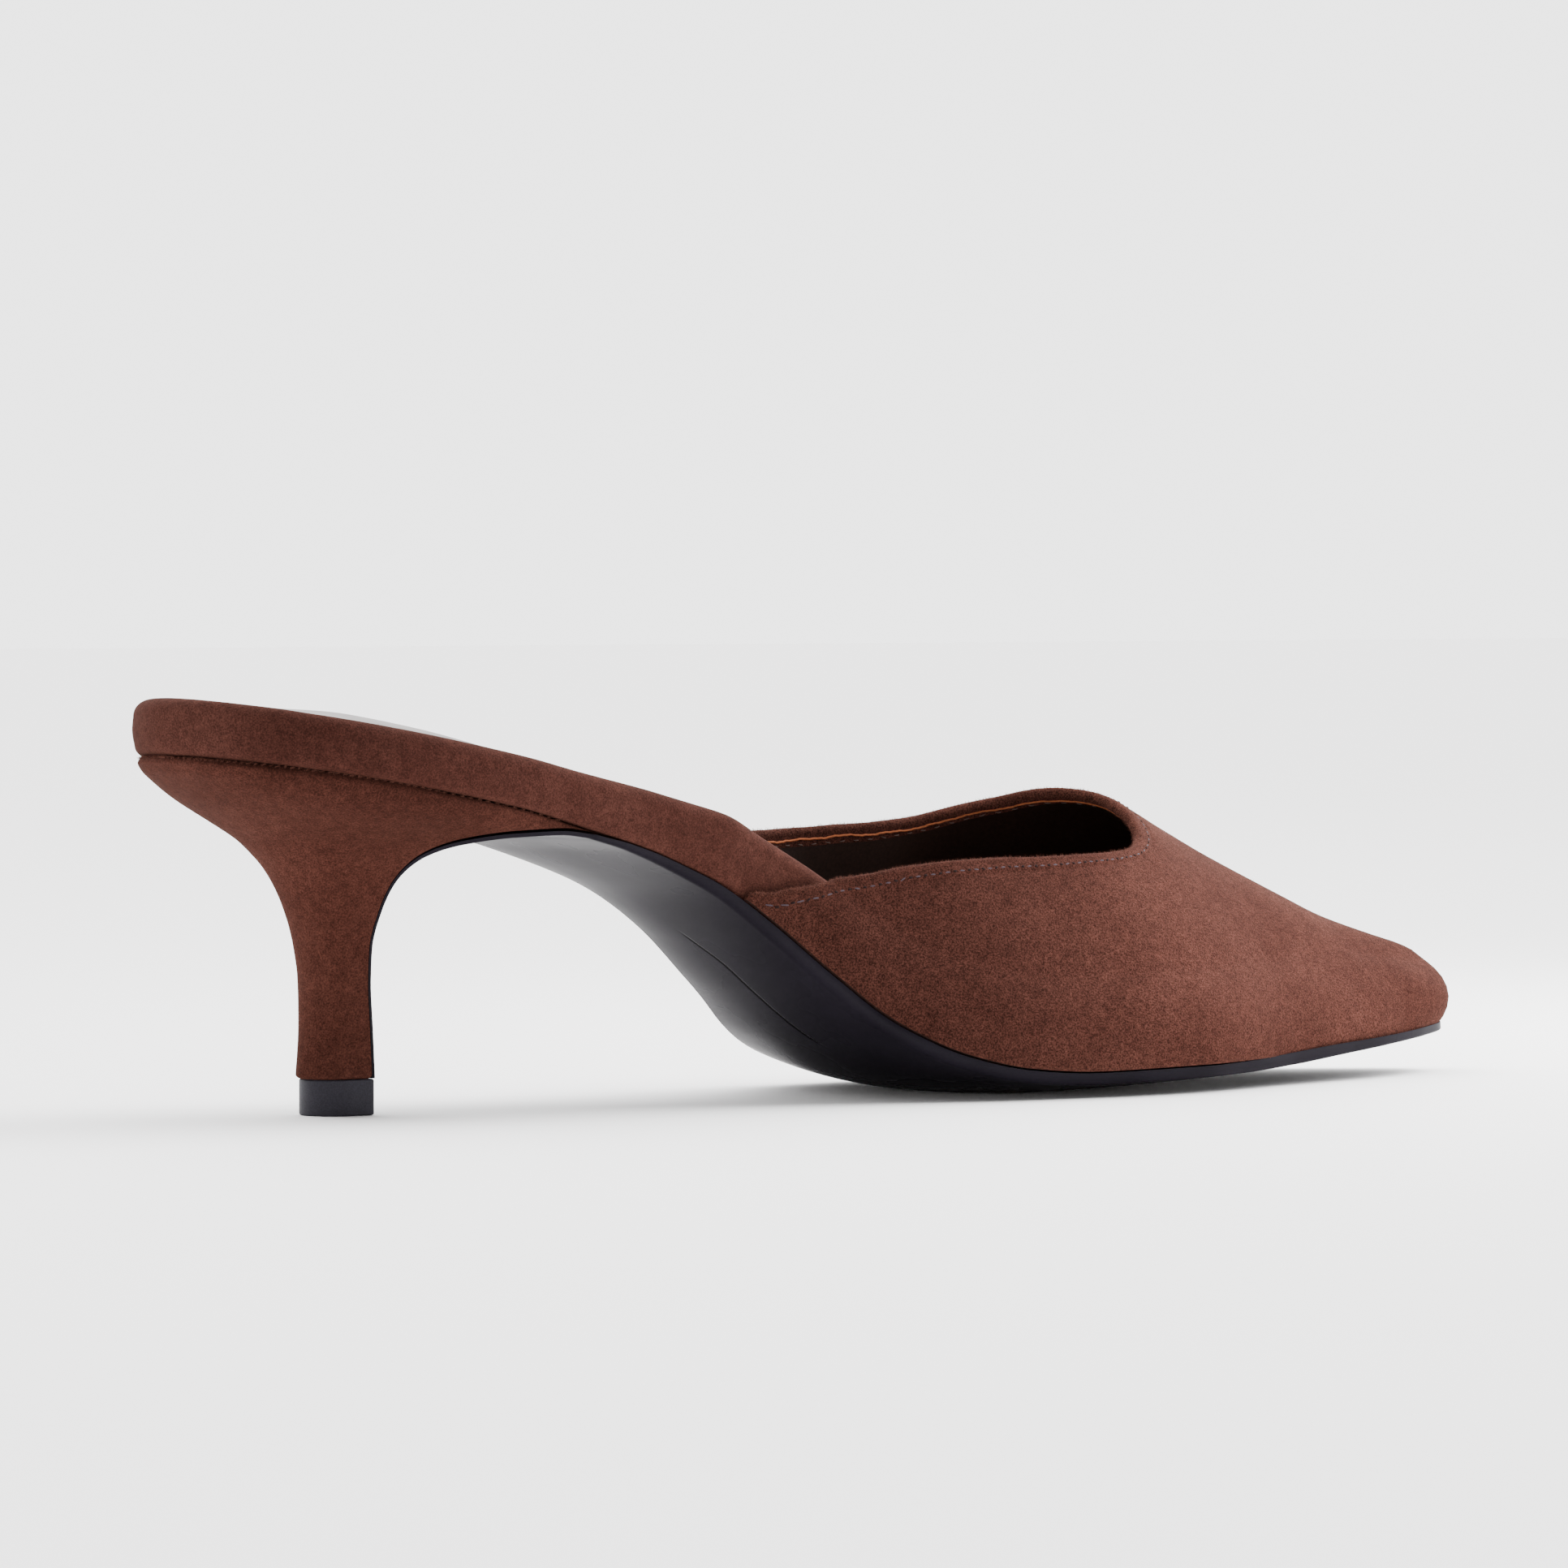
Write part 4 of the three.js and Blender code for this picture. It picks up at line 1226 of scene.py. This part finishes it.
def leather(name, colour, roughness, specular, coat, cell, depth, grooved):
    """Smooth finished leather: a satin glaze over a faint grain with slow waves.

    A grooved one reads the distance and depth that its piece holds, and loses its glaze inside
    the cut, where its colour is darkened with painted shade.
    """
    material, tree = new_material(name)
    place = add(tree, "TexCoord", output="Object")
    wave_noise = add(tree, "TexNoise", {}, grain(place, 9))
    cells = add(
        tree,
        "TexVoronoi",
        {"feature": "SMOOTH_F1"},
        {"Vector": place, "Scale": 1 / (cell * MM), "Randomness": 1.0},
        "Distance",
    )
    relief = [(wave_noise, 0.03), (cells, depth)]
    gloss_noise = add(tree, "TexNoise", {}, grain(place, 14))
    gloss_range = [gloss_noise, 0.3, 0.7, roughness * 0.95, roughness * 1.05]
    tone_noise = add(tree, "TexNoise", {}, grain(place, 12, 3.0))
    tone = add(tree, "MapRange", SMOOTH, [tone_noise, 0.3, 0.7, 0.88, 1.12])
    if grooved:
        offset = add(tree, "Attribute", {"attribute_name": "groove_offset"}, {}, "Fac")
        cut = add(tree, "Attribute", {"attribute_name": "groove_depth"}, {}, "Fac")
        away = add(tree, "Math", {"operation": "ABSOLUTE"}, [offset])
        inside = add(tree, "MapRange", SMOOTH, [away, 0.1, 0.6, 1.0, 0.0])
        groove = add(tree, "Math", MULTIPLY, [inside, cut])
        uncut_glaze_and_shade = add(tree, "MapRange", SMOOTH, [groove, 0.0, 1.0, 1.0, 0.1])
        # Painted shade: the colour darkens inside the groove
        tone = add(tree, "Math", MULTIPLY, [tone, uncut_glaze_and_shade])
        coat = add(tree, "Math", MULTIPLY, [uncut_glaze_and_shade, coat])
        relief.insert(1, (groove, -0.1))
    shine(
        tree,
        relief,
        Base_Color=add(tree, "VectorMath", SCALE, {0: linear(colour)[:3], "Scale": tone}),
        Roughness=add(tree, "MapRange", SMOOTH, gloss_range),
        Specular_IOR_Level=specular,
        Coat_Weight=coat,
        Coat_Roughness=roughness,
    )
    return material


def plain(name, colour, roughness, size, depth):
    """A dull material of one colour, with a fine grain of the given size and depth."""
    material, tree = new_material(name)
    place = add(tree, "TexCoord", output="Object")
    height = add(tree, "TexNoise", {}, grain(place, size, 3.0, 0.6))
    tone = add(tree, "MapRange", SMOOTH, [height, 0.3, 0.7, 0.85, 1.15])
    shine(
        tree,
        [(height, depth)],
        Base_Color=add(tree, "VectorMath", SCALE, {0: linear(colour)[:3], "Scale": tone}),
        Roughness=roughness,
        Specular_IOR_Level=0.12,
    )
    return material


# Places along the axis in metres, and the painted shade there: darker at the vamp's back, on the
# heel's top under the rim and at the rim's back
VAMP_PAINTED_SHADE = (0.08, 0.17, 0.67, 1.04)
HEEL_PAINTED_SHADE = (0.03, 0.048, 1.03, 0.79)
RIM_PAINTED_SHADE = (-0.03, 0.01, 0.96, 1.03)
vamp_suede = suede("suede_vamp", "#4b2d26", "#3a201a", 0.62, "X", VAMP_PAINTED_SHADE)
heel_suede = suede("suede_heel", "#482a23", "#391f19", 0.42, "Z", HEEL_PAINTED_SHADE)
rim_suede = suede("suede_rim", "#432822", "#351d18", 0.38, "X", RIM_PAINTED_SHADE)

# Thin lining leather, matt and nearly black inside the vamp, with its tan core at the cut
lining = plain("leather_lining", "#23140f", 0.75, 0.5, 0.04)
raw_tan = plain("leather_raw_edge", "#9c5a3a", 0.85, 0.35, 0.05)

# Polyester thread, a little greyer than the suede, and painted shadow in the dents that the needle
# left
thread = plain("thread_polyester", "#40353b", 0.7, 0.15, 0.02)
pale_thread = plain("thread_pale", "#5a4a44", 0.7, 0.15, 0.02)
hole_shade = plain("needle_hole_painted_shadow", "#1c0f0d", 0.9, 0.2, 0.02)

# Single fibres are painted lighter than the nap below them, a painted highlight for the light they
# catch
fibre_painted_highlight = plain("suede_fibre_painted_highlight", "#643f34", 0.9, 0.4, 0.0)

# The sole is polished nearly black and mirrors the bright horizon; the sock is duller
sole_leather = leather("leather_sole", "#18151b", 0.28, 0.0026, 0.062, 0.35, 0.002, True)
sock_leather = leather("leather_sock", "#33211a", 0.36, 0.05, 0.03, 0.6, 0.02, False)

# Hard rubber, matt and without grain that shows
tip_rubber = plain("rubber_tip", "#28262d", 0.55, 0.25, 0.03)


# Pieces

footbed = surface("footbed_suede", slab(footbed_rim, 300, 24, raised_bed, False))
finish_piece(footbed, [rim_suede], "footbed")

sock = surface("sock_lining_leather", slab(sock_rim, 260, 40, raised_sock, True))
finish_piece(sock, [sock_leather], "sock_lining")

heel_points = heel_grid(150, 60)
heel = surface("heel_block_suede", heel_points, capped=True)
finish_piece(heel, [heel_suede], "heel_block")

tip = surface("top_piece_rubber", tip_grid(), capped=True)
finish_piece(tip, [tip_rubber], "top_piece")

sole_points, sole_values = sole_grid(90, 330, 61)
sole = surface("outsole_leather", sole_points, capped=True, values=sole_values)
finish_piece(sole, [sole_leather], "outsole")

vamp_points, vamp_half = vamp_grid()
vamp_columns = vamp_points.shape[1]
band_rows = vamp_rows().mean(0)
inside_start = vamp_half + ROLL_POINTS
fold_end = inside_start + int(np.searchsorted(band_rows, FOLD_DROP))
zone_of_column = np.zeros(vamp_columns, int)
zone_of_column[fold_end:] = 1
vamp = surface("vamp_suede", vamp_points, capped=True, zones=zone_of_column[None, :])
finish_piece(vamp, [vamp_suede, lining], "upper")

raw_edge = surface("lining_raw_edge", raw_edge_grid(700))
finish_piece(raw_edge, [raw_tan])

outer_line, outer_normals = edge_line(STITCH_DROP, inside=False)
outer_span = (0.012, 0.98)
stitches = many_surfaces(
    "topline_stitches", stitch_rows(outer_line, outer_normals, outer_span, 3, 0.1)
)
finish_piece(stitches, [thread])

# Painted shadow: dark dimples between the stitches, where the needle went through
half_pitch = (STITCH_LENGTH + STITCH_GAP) / 2
hole_length, hole_width = 1.1, 0.4
hole_rows = stitch_rows(
    outer_line, outer_normals, outer_span, 4, 0.12, hole_length, hole_width, half_pitch
)
holes = many_surfaces("needle_hole_shadows", hole_rows)
finish_piece(holes, [hole_shade])

inner_line, inner_normals = edge_line(FOLD_DROP + 0.9, inside=True)
inner_span = (0.08, 0.92)
inner_length, inner_width = 1.3, 0.2
inner_rows = stitch_rows(
    inner_line, inner_normals, inner_span, 5, 0.02, inner_length, inner_width
)
inner_stitches = many_surfaces("lining_stitches", inner_rows)
finish_piece(inner_stitches, [pale_thread])

# Nap that stands off the suede: dense on the rolled topline, sparse on the vamp's face
TOPLINE_NAP = 8.0
FACE_NAP = 0.35
vamp_weights = np.zeros(vamp_points.shape[:2])
vamp_weights[:, vamp_half - 1 : inside_start + 1] = TOPLINE_NAP
vamp_weights[:, : vamp_half - 1] = FACE_NAP
vamp_weights[:4] = vamp_weights[-4:] = 0
roots, directions, _ = scattered(vamp_points, vamp_weights, 9000, 11)
vamp_fuzz = many_surfaces("vamp_fuzz", fibre_tubes(roots, directions, 12, 0.52))
finish_piece(vamp_fuzz, [fibre_painted_highlight])

# Nap along the heel's upper edge, which softens the seam under the rim
SEAM_NAP_SCATTER = 0.25
heel_weights = np.zeros(heel_points.shape[:2])
heel_weights[-9:-1, 4:-4] = 1.0
seam_roots, seam_directions, seam_rng = scattered(heel_points, heel_weights, 3600, 21)
scatter = seam_rng.normal(0, SEAM_NAP_SCATTER, len(seam_roots))
seam_roots[:, 0] += scatter
seam_fuzz = many_surfaces("seam_fuzz", fibre_tubes(seam_roots, seam_directions, 22, 0.45))
finish_piece(seam_fuzz, [fibre_painted_highlight])

# Floor, light and camera

FLOOR_REACH = 6.0
FLOOR_DROP = 0.00005
floor_mesh = bpy.data.meshes.new("floor")
floor_corners = [(-1, -1, 0), (1, -1, 0), (1, 1, 0), (-1, 1, 0)]
floor_points = (np.array(floor_corners) * FLOOR_REACH).tolist()
floor_mesh.from_pydata(floor_points, [], [(0, 1, 2, 3)])
floor = put("floor", floor_mesh)
floor.location.z = -FLOOR_DROP
floor_material, floor_tree = new_material("studio_floor")
shine(floor_tree, [], Base_Color=linear("#fbfafa"), Roughness=0.9, Specular_IOR_Level=0.1)
floor.data.materials.append(floor_material)


def aimed(name, data, place, direction):
    """Puts a lamp or the camera at a place, looking in a direction."""
    made = put(name, data)
    made.location = place
    made.rotation_mode = "QUATERNION"
    made.rotation_quaternion = direction.to_track_quat("-Z", "Y")
    return made


def soft_light(name, place, target, size, power):
    """A square area light of `size` metres that looks at a target."""
    data = bpy.data.lights.new(name, "AREA")
    data.shape = "SQUARE"
    data.size = size
    data.energy = power
    aimed(name, data, place, Vector(target) - Vector(place))


middle = (0.09, 0, 0.03)
soft_light("overhead", (1.1, 0.1, 1.0), middle, 0.8, 8)
soft_light("toe_side", (0.46, -0.04, 0.25), (0.2, 0, 0.02), 0.34, 3.6)

# World: a pale horizon all round, dim walls and a broad bright ceiling towards the back
HORIZON_LEVEL = 3.4
WALL_LEVEL = 0.3
CEILING_LEVEL = 6.5
CEILING_TOWARDS = (0.3, 0.6, 0.74)
CEILING_SPREAD = (0.35, 0.85)  # how far a direction faces the ceiling's middle
HORIZON_TOP = (0.1, 0.24)  # height of a direction in which the horizon's band ends

world = bpy.data.worlds.new("studio")
world.use_nodes = True
sky = world.node_tree
direction = add(sky, "TexCoord", output="Generated")
upward = add(sky, "SeparateXYZ", {}, [direction], "Z")
facing = add(
    sky, "VectorMath", {"operation": "DOT_PRODUCT"}, [direction, CEILING_TOWARDS], "Value"
)
ceiling = add(sky, "MapRange", SMOOTH, [facing, *CEILING_SPREAD, WALL_LEVEL, CEILING_LEVEL])
above_band = add(sky, "MapRange", SMOOTH, [upward, *HORIZON_TOP, 0.0, 1.0])
difference = add(sky, "Math", {"operation": "SUBTRACT"}, [ceiling, HORIZON_LEVEL])
level = add(sky, "Math", MULTIPLY, [difference, above_band])
level = add(sky, "Math", {"operation": "ADD"}, [level, HORIZON_LEVEL])
backdrop = sky.nodes["Background"]
backdrop.inputs["Color"].default_value = linear("#ffffff")
sky.links.new(level, backdrop.inputs["Strength"])
bpy.context.scene.world = world

CAMERA_AZIMUTH = -36.0
CAMERA_ELEVATION = 1.43
CAMERA_DISTANCE = 1.465
CAMERA_TARGET = Vector((0.0861, 0, 0.0496))
CAMERA_LENS = 211.3

azimuth, elevation = math.radians(CAMERA_AZIMUTH), math.radians(CAMERA_ELEVATION)
back = Vector(
    (
        math.sin(azimuth) * math.cos(elevation),
        -math.cos(azimuth) * math.cos(elevation),
        math.sin(elevation),
    )
)
camera_data = bpy.data.cameras.new("camera")
camera_data.sensor_width = 36
camera_data.lens = CAMERA_LENS
camera_data.clip_start = 0.05
camera_data.clip_end = 30
camera = aimed("camera", camera_data, CAMERA_TARGET + back * CAMERA_DISTANCE, -back)
bpy.context.scene.camera = camera
